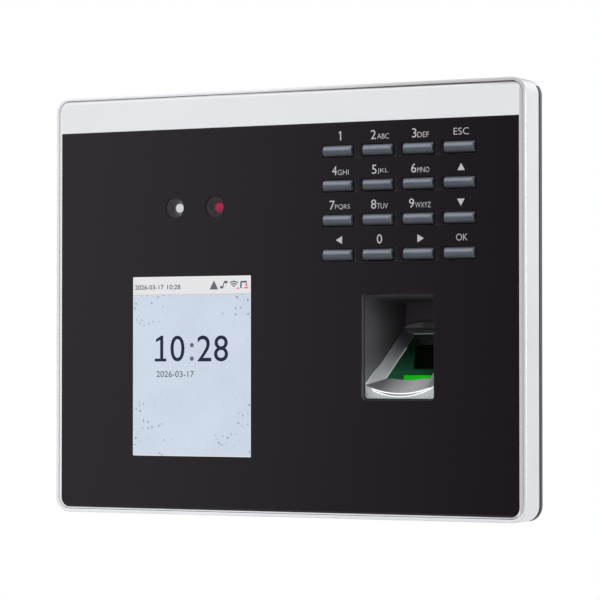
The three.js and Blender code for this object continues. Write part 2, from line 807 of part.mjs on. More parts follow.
function sensorBezel() {
  const back = pocketBack - fitGap;
  const under = -(bezelUnder + bezelFlange);
  const skirt = wallBack - 2 * fitGap;
  const wedge = sideProfile([
    [lensThickness, pocketBottom - overrun],
    [lensThickness, rimFrontHeight],
    [stopFront, rimBackHeight],
    [back, rimBackHeight],
    [back, slopeHeight(back, under)],
    [skirt, slopeHeight(skirt, under)],
    [skirt, pocketBottom - overrun],
  ], pocketX - pocketWidth, pocketX + pocketWidth);
  const archHalf = pocketHalfWidth(stopFront) - fitGap;
  const arch = Array.from({ length: 2 * crownSteps + 1 }, (_, step) => {
    const angle = Math.PI * step / (2 * crownSteps);
    return new THREE.Vector2(
      pocketX + archHalf * Math.cos(angle),
      rimBackHeight + stopRise * Math.sin(angle));
  });
  const footHeight = rimBackHeight - stopThickness;
  const foot = signs.map((side) => new THREE.Vector2(pocketX + side * archHalf, footHeight));
  const inPocket = wedge.intersect(pocketHollow(-fitGap, lensThickness - overrun, pocketBack));
  const flangeStart = wallBack + pocketFlangeThickness + seatGap;
  const flangeReach = pocketWidth / 2 + pocketWall + bezelFlangeReach;
  const flange = sideProfile([
    [flangeStart, slopeHeight(flangeStart, -bezelUnder)],
    [back, slopeHeight(back, -bezelUnder)],
    [back, slopeHeight(back, under)],
    [flangeStart, slopeHeight(flangeStart, under)],
  ], pocketX - flangeReach, pocketX + flangeReach);
  return cut(join(inPocket, flange, plate([...arch, ...foot], stopFront, back)),
    bezelFunnel(), bezelScoop(),
    slopingBlock(glassWidth / 2, 0, glassLength, under - overrun, glassBelowFunnel));
}

function sensorGlass() {
  return slopingBlock(glassWidth / 2 - seatGap, seatGap, glassLength - seatGap,
    -(glassBelowFunnel + glassThickness), -glassBelowFunnel);
}

// Optics block: a black box with a stepped chamber that the glass looks into
function opticsBlock() {
  const top = -(bezelUnder + bezelFlange + seatGap);
  const body = sideProfile([
    [opticsFront, slopeHeight(opticsFront, top)],
    [opticsBack, slopeHeight(opticsBack, top)],
    [opticsBack, opticsBottom],
    [opticsFront, opticsBottom],
  ], pocketX - opticsWidth / 2, pocketX + opticsWidth / 2);
  const step = lightBarBack + fitGap;
  const chamberFront = opticsFront + chamberFrontWall;
  const chamberBack = opticsBack - chamberBackWall;
  const chamber = sideProfile([
    [chamberFront, slopeHeight(chamberFront, top) + overrun],
    [chamberFront, chamberFloor],
    [step, chamberFloor],
    [step, ledgeHeight],
    [chamberBack - chamberBackLean, chamberFloor + chamberBackRise],
    [chamberBack, slopeHeight(chamberBack, top) + overrun],
  ], pocketX - chamberWidth / 2, pocketX + chamberWidth / 2);
  return cut(body, chamber);
}

function lightBar() {
  const half = chamberWidth / 2 - fitGap;
  return block(pocketX - half, pocketX + half, lightBarBack - lightBarThickness, lightBarBack,
    chamberFloor, ledgeHeight);
}

function sensorBoard() {
  return block(pocketX - sensorBoardWidth / 2, pocketX + sensorBoardWidth / 2, opticsFront, opticsBack,
    opticsBottom - boardThickness, opticsBottom);
}

// What stands on the back of the main board
function processorModule() {
  const [half, chip] = [processorWidth / 2, processorChipSize / 2];
  const stackBack = mainBack + processorStack;
  return join(
    block(processorX - half, processorX + half, mainBack, stackBack,
      processorBottom, processorBottom + processorTall),
    block(processorX - chip, processorX + chip, mainBack, stackBack + processorChip,
      processorHeight - chip, processorHeight + chip));
}

function cardAntenna() {
  const outline = boardOutline(mainRight - antennaLeft, antennaTop - antennaBottom,
    (antennaLeft + mainRight) / 2, (antennaBottom + antennaTop) / 2);
  return plate(outline, wallBack, wallBack + antennaThickness);
}

function clockCell() {
  const back = mainBack + cellThickness;
  return join(rod(cellRadius, mainBack, back, cellX, cellHeight, fineSides),
    block(cellX - cellClip / 2, cellX + cellClip / 2, mainBack, back + sink,
      cellHeight - cellRadius - overrun, cellHeight + cellRadius + overrun));
}

// Sockets that face down into the connector bay
function socketBlock(x, width, length, depth) {
  const mouth = bayTop + seatGap;
  return block(x - width / 2, x + width / 2, mainBack, mainBack + depth, mouth, mouth + length);
}

function ethernetJack() {
  const mouth = bayTop + seatGap;
  const floor = mainBack + socketFloor;
  const latchFront = floor + socketDepth;
  return cut(socketBlock(ethernetX, ethernetWidth, ethernetLength, ethernetDepth),
    block(ethernetX - socketWidth / 2, ethernetX + socketWidth / 2, floor, latchFront,
      mouth - overrun, mouth + socketLength),
    block(ethernetX - latchWidth / 2, ethernetX + latchWidth / 2, floor, latchFront + latchDepth,
      mouth - overrun, mouth + socketLength));
}

function powerJack() {
  const mouth = bayTop + seatGap;
  const axis = mainBack + powerDepth / 2;
  const bored = cut(socketBlock(powerX, powerWidth, powerLength, powerDepth),
    upright(powerBore, mouth - overrun, mouth + powerBoreLength, powerX, axis));
  return join(bored, upright(powerPin, mouth + overrun, mouth + powerBoreLength + sink, powerX, axis));
}

function terminalHeader(x) {
  const mouth = bayTop + seatGap;
  const axis = mainBack + headerDepth / 2;
  const inside = headerWidth / 2 - headerWall;
  const half = headerPinSize / 2;
  const shroud = cut(socketBlock(x, headerWidth, headerLength, headerDepth),
    block(x - inside, x + inside, axis - headerSlot / 2, axis + headerSlot / 2,
      mouth - overrun, mouth + headerSlotLength));
  const pins = Array.from({ length: headerPins }, (_, pin) => {
    const pinX = x + (pin - (headerPins - 1) / 2) * headerPinPitch;
    return block(pinX - half, pinX + half, axis - half, axis + half,
      mouth + overrun, mouth + headerSlotLength + sink);
  });
  return join(shroud, ...pins);
}

// Each window is open from the bay up past its wall
function socketWindow(x, width, depth) {
  const half = width / 2 + seatGap;
  const back = mainBack + depth + seatGap;
  return block(x - half, x + half, mainBack, back, bayTop, bayTop + bayWall + overrun);
}

function tamperSwitch() {
  const half = tamperSize / 2;
  const back = mainBack + tamperBody;
  return join(block(tamperX - half, tamperX + half, mainBack, back, tamperZ - half, tamperZ + half),
    rod(tamperButton, back - sink, back + tamperButtonRise, tamperX, tamperZ));
}

function tamperPlunger() {
  const front = mainBack + tamperBody + tamperButtonRise + 2 * plungerTravel;
  return join(rod(plungerRadius, front, bodyDepth, tamperX, tamperZ),
    rod(plungerCollar, plungerCollarDepth, plungerCollarDepth + plungerCollarThickness, tamperX, tamperZ));
}

function speaker() {
  const [deep, tall] = [speakerDepth / 2, speakerTall / 2];
  const body = block(speakerWall - speakerThickness, speakerWall, speakerMiddle - deep, speakerMiddle + deep,
    speakerZ - tall, speakerZ + tall);
  const [left, right] = [speakerWall - speakerConeSink, speakerWall + overrun];
  return cut(body, crosswise(speakerCone, left, right, speakerMiddle, speakerZ, fineSides));
}

// Rear cover
function coverShell() {
  const outline = (inset) => roundedOutline(frameWidth - 2 * inset, frameHeight - 2 * inset, frameCorner);
  const grooveBack = frameDepth + grooveDepth;
  const rim = loft([
    ring(outline(grooveInset), frameDepth),
    ring(outline(grooveInset), grooveBack),
    ring(outline(0), grooveBack),
    ring(outline(0), rimBack - coverRimEase),
    ring(outline(coverRimEase), rimBack),
  ]);
  const box = roundedOutline(boxWidth, boxHeight, boxCorner);
  const boxBack = grownOutline(boxWidth, boxHeight, boxCorner, -boxEdge);
  const raised = loft([ring(box, rimBack - sink), ring(box, bodyDepth - boxEdge), ring(boxBack, bodyDepth)]);
  const hollow = grownOutline(boxWidth, boxHeight, boxCorner, -coverWall);
  return cut(join(rim, raised), plate(hollow, frameDepth - overrun, coverInside));
}

function grilleCuts() {
  const [deep, half] = [grilleSlotLength / 2, grilleSlotWidth / 2];
  return Array.from({ length: grilleSlots }, (_, slot) => {
    const z = speakerZ + (slot - (grilleSlots - 1) / 2) * grillePitch;
    return block(speakerWall - overrun, boxWidth / 2 + overrun, speakerMiddle - deep, speakerMiddle + deep,
      z - half, z + half);
  });
}

function rearCover() {
  const guideFront = plungerCollarDepth + plungerCollarThickness + plungerTravel;
  const bayBox = grownOutline(bayWidth, bayHeight, bayCorner, bayWall, bayX, bayZ);
  const solidParts = join(coverShell(),
    plate(bayBox, bayFloor - bayWall, coverInside + sink),
    rod(plungerGuide, guideFront, coverInside + sink, tamperX, tamperZ));
  const slotHalf = hookWidth / 2 + seatGap;
  const tabHalf = tabWidth / 2 + seatGap;
  const [wallFront, wallOut] = [coverInside - overrun, bodyDepth + overrun];
  const tabSlotBottom = coverWall - boxHeight / 2;
  return cut(solidParts,
    plate(roundedOutline(bayWidth, bayHeight, bayCorner, bayX, bayZ), bayFloor, wallOut),
    socketWindow(ethernetX, ethernetWidth, ethernetDepth),
    socketWindow(powerX, powerWidth, powerDepth),
    ...headerPlaces.map((x) => socketWindow(x, headerWidth, headerDepth)),
    ...signs.map((side) => block(side * hookSpacing / 2 - slotHalf, side * hookSpacing / 2 + slotHalf,
      wallFront, wallOut, hookHeight - hookSlotHeight, hookHeight)),
    block(-tabHalf, tabHalf, wallFront, wallOut, tabSlotBottom, tabZ + plateThickness + seatGap),
    upright(lockShank + fitGap, -boxHeight / 2 - overrun, tabSlotBottom + overrun, 0, lockDepth),
    rod(plungerRadius + plungerRunning, guideFront - overrun, wallOut, tamperX, tamperZ),
    ...housingScrewPlaces.map(([x, z]) =>
      rod(housingShank + seatGap, frameDepth - overrun, rimBack + overrun, x, z)),
    ...grilleCuts());
}

// Steel wall plate with two hooks and a locking tab
function hook(x) {
  const half = hookWidth / 2;
  const top = hookHeight - fitGap;
  const lipFront = coverInside - seatGap - hookLipThickness;
  return join(
    block(x - half, x + half, lipFront, bodyDepth + sink, top - plateThickness, top),
    block(x - half, x + half, lipFront, lipFront + hookLipThickness, top - plateThickness, top + hookLip));
}

function wallPlate() {
  const half = tabWidth / 2;
  const windowHalf = bayWidth / 2 - plateWindowInset;
  const body = join(
    plate(roundedOutline(plateWidth, plateHeight, plateCorner), bodyDepth, overallDepth),
    block(-half, half, bodyDepth, overallDepth, tabZ, sink - plateHeight / 2),
    block(-half, half, tabFront, overallDepth, tabZ, tabZ + plateThickness),
    ...signs.map((side) => hook(side * hookSpacing / 2)));
  const windowTop = bayZ + plateWindowHeight / 2;
  const upperSlots = plateHeight / 2 - plateHoleInsetTop;
  const lowerSlots = windowTop + plateHoleAboveWindow;
  const slotPlaces = rectangleOf(plateWidth - 2 * plateHoleInsetX, upperSlots - lowerSlots,
    0, (upperSlots + lowerSlots) / 2);
  const through = [bodyDepth - overrun, overallDepth + overrun];
  return cut(body,
    ...slotPlaces.map(([x, z]) =>
      plate(roundedOutline(plateSlotWidth, plateSlotLength, plateSlotWidth / 2, x, z), ...through)),
    block(bayX - windowHalf, bayX + windowHalf, ...through, windowTop - plateWindowHeight, windowTop),
    upright(lockShank + fitGap, tabZ - overrun, tabZ + plateThickness + overrun, 0, lockDepth));
}

// Screws: each head lies on what it holds and each shank reaches into its boss
const boardScrewPlaces = [
  ...mainScrews.map(([x, z]) => [x, z, mainBack]),
  ...[...keypadScrews, ...cameraScrews].map(([x, z]) => [x, z, boardBack]),
];

function boardScrew([x, z, back]) {
  return join(rod(boardHead, back, back + boardHeadHeight, x, z, crownSteps * 2),
    rod(boardShank, wallBack + screwTipGap, back + sink, x, z, crownSteps));
}

function housingScrew([x, z]) {
  return join(rod(housingHead, rimBack, rimBack + housingHeadHeight, x, z),
    rod(housingShank, wallBack + screwTipGap, rimBack + sink, x, z, crownSteps));
}

function lockingScrew() {
  const under = -boxHeight / 2;
  return join(upright(lockHead, under - lockHeadHeight, under, 0, lockDepth),
    upright(lockShank, under - sink, tabZ + plateThickness + lockReach, 0, lockDepth));
}

// Assembly
const terminal = new THREE.Group();

const shell = new THREE.Group();
shell.add(
  piece('front_frame', frontFrame(), 0xe2e0e3, 0.35, 0.1),
  piece('front_lens', frontLens(), 0x1f1c20, 0.08),
  piece('lens_tape', lensTape(), 0x101010, 0.8),
  piece('rear_cover', rearCover(), 0x55545a, 0.55),
  ...housingScrewPlaces.map((place, index) =>
    piece(`housing_screw_${index + 1}`, housingScrew(place), 0xb0b2b6, 0.3, 1)));

const keypad = new THREE.Group();
keyPlaces.forEach(({ name, x, z }) => keypad.add(piece(name, keyCap(x, z), 0x7d8592, 0.35, 0.4)));
keypad.add(
  piece('keypad_mat', keypadMat(), 0x3a3a3d, 0.9),
  piece('keypad_board', keypadBoard(), 0x1f5a34, 0.5));

const cameraNames = ['camera_left', 'camera_right'];
const front = new THREE.Group();
front.add(
  piece('display_panel', displayPanel(), 0xcdd8e8, 0.2),
  piece('display_backlight', displayBacklight(), 0xd9d9d9, 0.5),
  ...cameraPlaces.map((x, index) => piece(cameraNames[index], camera(x), 0x2a2a2c, 0.3)),
  piece('camera_board', cameraBoard(), 0x1f5a34, 0.5));

const fingerReader = new THREE.Group();
fingerReader.add(
  piece('finger_pocket', fingerPocket(), 0x3c3a3e, 0.5),
  piece('sensor_bezel', sensorBezel(), 0xa8a8ac, 0.4, 0.2),
  piece('sensor_glass', sensorGlass(), 0x1c2a20, 0.05),
  piece('optics_block', opticsBlock(), 0x0c0c0d, 0.6),
  piece('light_bar', lightBar(), 0x12a01c, 0.4),
  piece('sensor_board', sensorBoard(), 0x1f5a34, 0.5));

const electronics = new THREE.Group();
electronics.add(
  piece('main_board', mainBoard(), 0x1f5a34, 0.5),
  piece('processor_module', processorModule(), 0x18181a, 0.5),
  piece('clock_cell', clockCell(), 0xb8b8ba, 0.3, 1),
  piece('card_antenna', cardAntenna(), 0x1f5a34, 0.5),
  piece('ethernet_jack', ethernetJack(), 0xb4b5b8, 0.35, 0.9),
  piece('power_jack', powerJack(), 0x161616, 0.5),
  ...headerPlaces.map((x, index) =>
    piece(`terminal_header_${index + 1}`, terminalHeader(x), 0x2f7d44, 0.5)),
  piece('tamper_switch', tamperSwitch(), 0x1a1a1a, 0.5),
  piece('tamper_plunger', tamperPlunger(), 0xd8d8d8, 0.6),
  piece('speaker', speaker(), 0x202022, 0.6),
  ...boardScrewPlaces.map((place, index) =>
    piece(`board_screw_${index + 1}`, boardScrew(place), 0xb0b2b6, 0.3, 1)));

const mounting = new THREE.Group();
mounting.add(
  piece('wall_plate', wallPlate(), 0xc2c4c8, 0.4, 1),
  piece('locking_screw', lockingScrew(), 0xb0b2b6, 0.3, 1));

terminal.add(shell, keypad, front, fingerReader, electronics, mounting);

export default terminal;
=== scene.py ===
"""Looks of the wall terminal: smooth pieces, finishes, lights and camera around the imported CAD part.

Lengths are in millimetres in the mesh code, and every mesh is turned into metres as it is made.
Depths are measured back from the face of the lens, X runs to the right and Z is up.
"""

import math
from types import SimpleNamespace

import bmesh
import bpy
from bpy.props import FloatProperty, FloatVectorProperty, PointerProperty
from bpy.types import Operator, Panel, PropertyGroup
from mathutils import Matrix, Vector
from mathutils.geometry import tessellate_polygon


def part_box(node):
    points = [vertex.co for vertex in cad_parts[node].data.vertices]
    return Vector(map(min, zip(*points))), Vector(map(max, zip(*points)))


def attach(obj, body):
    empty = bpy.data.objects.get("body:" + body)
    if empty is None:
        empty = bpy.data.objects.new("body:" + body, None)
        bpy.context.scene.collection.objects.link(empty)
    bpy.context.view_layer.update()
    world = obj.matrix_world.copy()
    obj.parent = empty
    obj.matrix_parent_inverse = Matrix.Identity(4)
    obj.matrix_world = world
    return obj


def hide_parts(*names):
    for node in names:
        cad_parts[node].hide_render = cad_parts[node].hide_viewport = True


bl_info = {
    "name": "Wall terminal looks",
    "version": (1, 0, 0),
    "blender": (4, 5, 0),
    "location": "3D View > Sidebar > Terminal",
    "description": "Builds the visible pieces of a wall terminal, its finishes and a plain studio",
    "category": "Object",
}

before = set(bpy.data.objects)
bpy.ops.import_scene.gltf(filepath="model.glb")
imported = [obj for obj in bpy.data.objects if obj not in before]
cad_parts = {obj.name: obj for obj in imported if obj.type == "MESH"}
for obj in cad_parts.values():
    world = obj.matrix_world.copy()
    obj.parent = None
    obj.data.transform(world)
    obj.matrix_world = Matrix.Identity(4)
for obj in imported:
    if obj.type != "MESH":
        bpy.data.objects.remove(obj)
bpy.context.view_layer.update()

MM = 0.001
FRONT = -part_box("front_lens")[0][1] / MM
SHELL = "terminal"
KEYS = ("1", "2", "3", "esc", "4", "5", "6", "up", "7", "8", "9", "down", "left", "0", "right", "ok")
CAMERAS = ("camera_left", "camera_right")

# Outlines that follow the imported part: width, height and corner radius
FRAME_CORNER, LENS_CORNER, PICTURE_CORNER = 5.0, 3.78, 0.15
KEY_SLOT, KEY_FLANGE = (10.9, 4.0, 0.2), (12.1, 5.2, 0.3)
DISPLAY_OPENING = 50.3, 69.5, 0.15
POCKET_OPENING, FINGER_OPENING = (27.1, 35.4, 2.4), (24.7, 33.0, 1.25)
CAMERA_OPENING, CAMERA_HOLE, CAMERA_WINDOW = (6.6, 6.6, 3.3), (6.8, 6.8, 3.4), (6.78, 6.78, 3.39)
CAMERA_FLANGE = 8.0, 8.0, 0.4

# Lit area of the display, and its distance from the panel's upper edge
PICTURE_WIDTH, PICTURE_HEIGHT, PICTURE_MARGIN = 43.2, 57.6, 3.0

# Front lower edge and slope of the sensor glass, and the round scoop that leads up to it
GLASS_FRONT, GLASS_LOW, GLASS_SLOPE = 7.8, -24.07, math.radians(32.9)
SCOOP_FLOOR, SCOOP_RADIUS, SCOOP_CLIMB = -29.54, 21.0, math.atan2(4.8, 6.0)


def linear(red, green, blue):
    """Scene colour of an eight-bit screen colour."""
    def channel(value):
        value /= 255
        return value / 12.92 if value <= 0.04045 else ((value + 0.055) / 1.055) ** 2.4
    return channel(red), channel(green), channel(blue)


def tone(*screen):
    """Opaque scene colour of an eight-bit screen colour."""
    return (*linear(*screen), 1.0)


def shaded(tint, factor):
    """A tint made darker or lighter."""
    return [min(1.0, part * factor) for part in tint[:3]] + [1.0]


def span(left, right, bottom, top, **depths):
    """Sides of an upright rectangle, with its size and middle."""
    return SimpleNamespace(left=left, right=right, bottom=bottom, top=top, width=right - left,
                           height=top - bottom, x=(left + right) / 2, z=(bottom + top) / 2, **depths)


def extent(node):
    """Sides, front and back of a CAD node."""
    low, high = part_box(node)
    return span(low[0] / MM, high[0] / MM, low[2] / MM, high[2] / MM,
                front=low[1] / MM + FRONT, back=high[1] / MM + FRONT)


def picture():
    """Lit area of the display."""
    panel = extent("display_panel")
    top = panel.top - PICTURE_MARGIN
    return span(panel.x - PICTURE_WIDTH / 2, panel.x + PICTURE_WIDTH / 2, top - PICTURE_HEIGHT, top)


# ---------------------------------------------------------------- settings

def length(name, description, millimetres):
    return FloatProperty(name=name, description=description, default=millimetres * MM,
                         unit="LENGTH", subtype="DISTANCE", precision=5)


def colour(name, description, *screen):
    return FloatVectorProperty(name=name, description=description, default=linear(*screen),
                               size=3, subtype="COLOR", min=0, max=1)


class TerminalSizes(PropertyGroup):
    """Lengths that shape the edges and the print."""
    rim_round: length("Rim rounding", "Radius of the frame's front edge", 0.5)
    back_round: length("Back rounding", "Radius of the frame's rear edge", 0.35)
    lens_bevel: length("Lens bevel", "Width of the bevelled border of the lens", 1.0)
    lens_bevel_depth: length("Lens bevel depth", "Depth of that bevel", 0.35)
    opening_round: length("Opening rounding", "Rounding of the finger opening's edge", 0.1)
    key_round: length("Key rounding", "Rounding of the ends of each key", 0.5)
    print_corner: length("Print corner", "Corner radius of the black print at its lower end", 3.0)
    print_side: length("Print width", "Half the width of the black print", 81.2)
    print_top: length("Print top", "Upper edge of the black print above the middle", 56.05)
    print_bottom: length("Print bottom", "Lower edge of the black print below the middle", 66.05)
    digit_height: length("Digit height", "Height of the digits above the keys", 2.85)
    letter_height: length("Letter height", "Height of the letters beside the digits", 1.65)
    header_height: length("Header height", "Height of the bar at the top of the screen", 5.65)
    clock_height: length("Clock height", "Height of the large digits on the screen", 8.3)


class TerminalColours(PropertyGroup):
    """Colours of the visible finishes."""
    paint: colour("Silver paint", "Frame and band", 240, 242, 246)
    black: colour("Black print", "Print behind the lens", 19, 11, 21)
    cover: colour("Rear cover", "Moulded rear cover", 92, 92, 98)
    key: colour("Key", "Metallic paint of the keys", 112, 117, 127)
    legend: colour("Legend", "Characters above the keys", 196, 196, 200)
    screen: colour("Screen", "Body of the lit screen", 205, 216, 232)
    header: colour("Header", "Bar at the top of the screen", 234, 232, 234)
    ink: colour("Ink", "Large digits on the screen", 24, 35, 62)
    pocket: colour("Pocket", "Walls of the finger pocket", 112, 109, 114)
    bezel: colour("Bezel", "Flanks and front of the sensor's surround", 222, 228, 230)
    scoop: colour("Scoop", "Round lead-in below the sensor glass", 190, 193, 197)
    light: colour("Sensor light", "Lit bar under the sensor glass", 0, 158, 0)


def sizes():
    group = bpy.context.scene.terminal_sizes
    return {name: getattr(group, name) / MM for name in TerminalSizes.__annotations__}


def colours():
    group = bpy.context.scene.terminal_colours
    return {name: (*getattr(group, name), 1.0) for name in TerminalColours.__annotations__}


# ---------------------------------------------------------------- shaders

class Value:
    """A shader socket that takes part in Python arithmetic."""

    def __init__(self, nodes, socket):
        self.nodes = nodes
        self.socket = socket

    def math(self, operation, *values):
        return self.nodes.add("ShaderNodeMath", {"operation": operation}, dict(enumerate(values)))

    def __add__(self, other):
        return self.math("ADD", self, other)

    def __sub__(self, other):
        return self.math("SUBTRACT", self, other)

    def __rsub__(self, other):
        return self.math("SUBTRACT", other, self)

    def __mul__(self, other):
        return self.math("MULTIPLY", self, other)

    def __truediv__(self, other):
        return self.math("DIVIDE", self, other)

    def __gt__(self, other):
        return self.math("GREATER_THAN", self, other)

    def __lt__(self, other):
        return self.math("LESS_THAN", self, other)

    def __abs__(self):
        return self.math("ABSOLUTE", self)

    def at_least(self, other):
        return self.math("MAXIMUM", self, other)

    def between(self, low, high):
        return (self > low) * (self < high)

    def ramp(self, low, high, start=0.0, end=1.0):
        """Goes smoothly from start to end as the value goes from low to high."""
        return self.nodes.add("ShaderNodeMapRange", {"interpolation_type": "SMOOTHSTEP"},
                              {"Value": self, "From Min": low, "From Max": high,
                               "To Min": start, "To Max": end})


class Nodes:
    """Adds nodes to one node tree and joins them."""

    def __init__(self, tree):
        self.tree = tree
        self.tree.nodes.clear()

    def add(self, kind, settings=None, inputs=None, output=0):
        node = self.tree.nodes.new(kind)
        for name, value in (settings or {}).items():
            setattr(node, name, value)
        for name, value in (inputs or {}).items():
            self.plug(node.inputs[name], value)
        return Value(self, node.outputs[output]) if node.outputs else node

    def plug(self, socket, value):
        if isinstance(value, Value):
            self.tree.links.new(value.socket, socket)
        else:
            socket.default_value = value

    def split(self, vector):
        """The three parts of a vector."""
        node = self.tree.nodes.new("ShaderNodeSeparateXYZ")
        self.plug(node.inputs[0], vector)
        return [Value(self, output) for output in node.outputs]

    def spot(self):
        return self.add("ShaderNodeTexCoord", output="Object")

    def place(self):
        """The place on the part, in millimetres: across, depth and height."""
        x, y, z = self.split(self.spot())
        return x * 1000, y * 1000 + FRONT, z * 1000

    def mix(self, factor, first, second):
        return self.add("ShaderNodeMix", {"data_type": "RGBA"}, {0: factor, 6: first, 7: second}, 2)

    def noise(self, size, detail=3.0, stretch=(1, 1, 1)):
        """Cloudy noise between 0 and 1 whose patches are about the given size across."""
        scaled = self.add("ShaderNodeVectorMath", {"operation": "MULTIPLY"},
                          {0: self.spot(), 1: [1 / (size * MM * factor) for factor in stretch]})
        return self.add("ShaderNodeTexNoise", None, {"Vector": scaled, "Scale": 1.0, "Detail": detail})

    def cells(self, feature, size):
        """Distances in a pattern of cells that are about the given size across."""
        return self.add("ShaderNodeTexVoronoi", {"feature": feature},
                        {"Vector": self.spot(), "Scale": 1 / (size * MM)})

    def clouded(self, tint, factor, patch, detail=3.0):
        """Noise in patches, and the tint that it darkens by the factor."""
        cloud = self.noise(patch, detail)
        return cloud, self.mix(cloud.ramp(0.3, 0.7), shaded(tint, factor), tint)

    def bump(self, height, depth):
        """Surface relief of the given depth in millimetres."""
        return self.add("ShaderNodeBump", None, {"Distance": depth * MM, "Height": height})


def material(build, name=None):
    """Makes a material once: build fills its nodes and returns what the main shader gets."""
    name = name or build.__name__
    known = bpy.data.materials.get(name)
    if known:
        return known
    made = bpy.data.materials.new(name)
    made.use_nodes = True
    nodes = Nodes(made.node_tree)
    shader = nodes.add("ShaderNodeBsdfPrincipled", None, build(nodes))
    nodes.add("ShaderNodeOutputMaterial", None, {"Surface": shader})
    return made


def plain(name, tint, roughness, *, grain=0.12, relief=0.004, patch=14.0, shade=0.1,
          stretch=(1, 1, 1), **constants):
    """A moulded, painted or metal finish: cloudy tint, uneven gloss and a fine surface grain."""
    spread = 0.08

    def build(nodes):
        cloud, body = nodes.clouded(tint, 1 - shade, patch, 4.0)
        fine = nodes.noise(grain, 2.0, stretch)
        return {"Base Color": body,
                "Roughness": cloud.ramp(0.25, 0.75, roughness - spread / 2, roughness + spread / 2)
                + (fine - 0.5) * spread,
                "Normal": nodes.bump(fine, relief), **constants}
    return material(build, name)


def silver_paint(nodes):
    """Flaked paint, with a painted highlight on the right front edge and painted shade greying the rest of
    the front rim.
    """
    tint, box = colours()["paint"], extent("front_frame")
    x, depth, z = nodes.place()
    cloud, body = nodes.clouded(tint, 0.955, 30.0)
    flake = nodes.noise(0.08, 2.0)
    # Painted highlight on the right front edge alone: a lighter, metallic and glossier chamfer there
    edge = depth.ramp(0.3, 0.55, 1.0, 0.0) * x.ramp(box.right - 0.6, box.right - 0.3)
    # Painted shade: the front rim is greyed, more towards the right and less near the bottom, but not on
    # the right edge
    rim = (depth.ramp(0.3, 0.6, 1.0, 0.0) * x.ramp(box.right - 0.7, box.right - 0.4, 1.0, 0.0)
           * z.ramp(box.bottom + 1.75, box.bottom + 7.75, 0.2, 1.0) * x.ramp(-20, 60))
    body = nodes.mix(rim, body, tone(200, 198, 200))
    return {"Base Color": nodes.mix(edge, body, shaded(tint, 1.06)),
            "Roughness": cloud.ramp(0.25, 0.75, 0.3, 0.38) + (flake - 0.5) * 0.1 - edge * 0.08,
            "Metallic": edge * 0.7 + flake.ramp(0.35, 0.7, 0.02, 0.14),
            "Normal": nodes.bump(flake, 0.0015),
            "Coat Weight": 0.25, "Coat Roughness": 0.12}


def lens_print(nodes):
    """Clear lens printed from behind: black panel, silver band and bare bevelled border, with painted
    light and shade on that border.
    """
    size, tint = sizes(), colours()
    pocket, lens = extent("finger_pocket"), extent("front_lens")
    turn, bevel = size["print_corner"], size["lens_bevel"]
    upper = lens.top - bevel
    x, depth, z = nodes.place()
    past_x = (abs(x) - (size["print_side"] - turn)).at_least(0)
    past_z = (0 - z - (size["print_bottom"] - turn)).at_least(0)
    panel = (past_x * past_x + past_z * past_z < turn * turn) * (z < size["print_top"])
    inner = (abs(x) < lens.right - bevel) * z.between(lens.bottom + bevel, upper)
    opening = ((abs(x - pocket.x) < pocket.width / 2) * (abs(z - pocket.z) < pocket.height / 2)
               * (depth > 0.3))
    smear = nodes.noise(26.0, 5.0)
    dust = nodes.noise(0.5, 2.0)
    silver = nodes.mix(smear, shaded(tint["paint"], 0.93), tint["paint"])
    # Painted light and shade: the bare border is lighter, and darker along the right side
    border = nodes.mix(x.ramp(60, 80), tone(238, 237, 239), tone(204, 201, 203))
    # Painted shade: a dark line across the top of the bevelled border, stronger towards the right, for the
    # gap above the lens
    top_line_shade = z.ramp(upper + 0.5, upper + 0.7) * x.ramp(-30, 50, 0.35, 1.0)
    border = nodes.mix(top_line_shade, border, tone(96, 96, 100))
    face = nodes.mix(panel, nodes.mix(inner, border, silver), tint["black"])
    face = nodes.mix(dust.ramp(0.72, 0.8) * panel * 0.05, face, tone(120, 120, 124))
    return {"Base Color": nodes.mix(opening, face, tone(104, 102, 106)),
            "Roughness": smear.ramp(0.35, 0.75, 0.035, 0.09) + (dust - 0.5) * 0.02,
            "Normal": nodes.bump(nodes.noise(40.0, 1.0), 0.01),
            "IOR": 1.41}


def key_paint(nodes):
    """Metallic paint, with painted shade where a key's back turns down."""
    tint = colours()["key"]
    flake = nodes.noise(0.06, 2.0)
    cloud, body = nodes.clouded(tint, 0.86, 5.0)
    # Painted shade: the paint darkens on faces that turn downwards
    _, _, up = nodes.split(nodes.add("ShaderNodeNewGeometry", output="Normal"))
    return {"Base Color": nodes.mix(up.ramp(-0.9, 0.35), shaded(tint, 0.38), body),
            "Metallic": flake.ramp(0.3, 0.7, 0.75, 0.95),
            "Roughness": cloud.ramp(0.3, 0.7, 0.36, 0.42) + (flake - 0.5) * 0.06,
            "Normal": nodes.bump(flake, 0.002)}


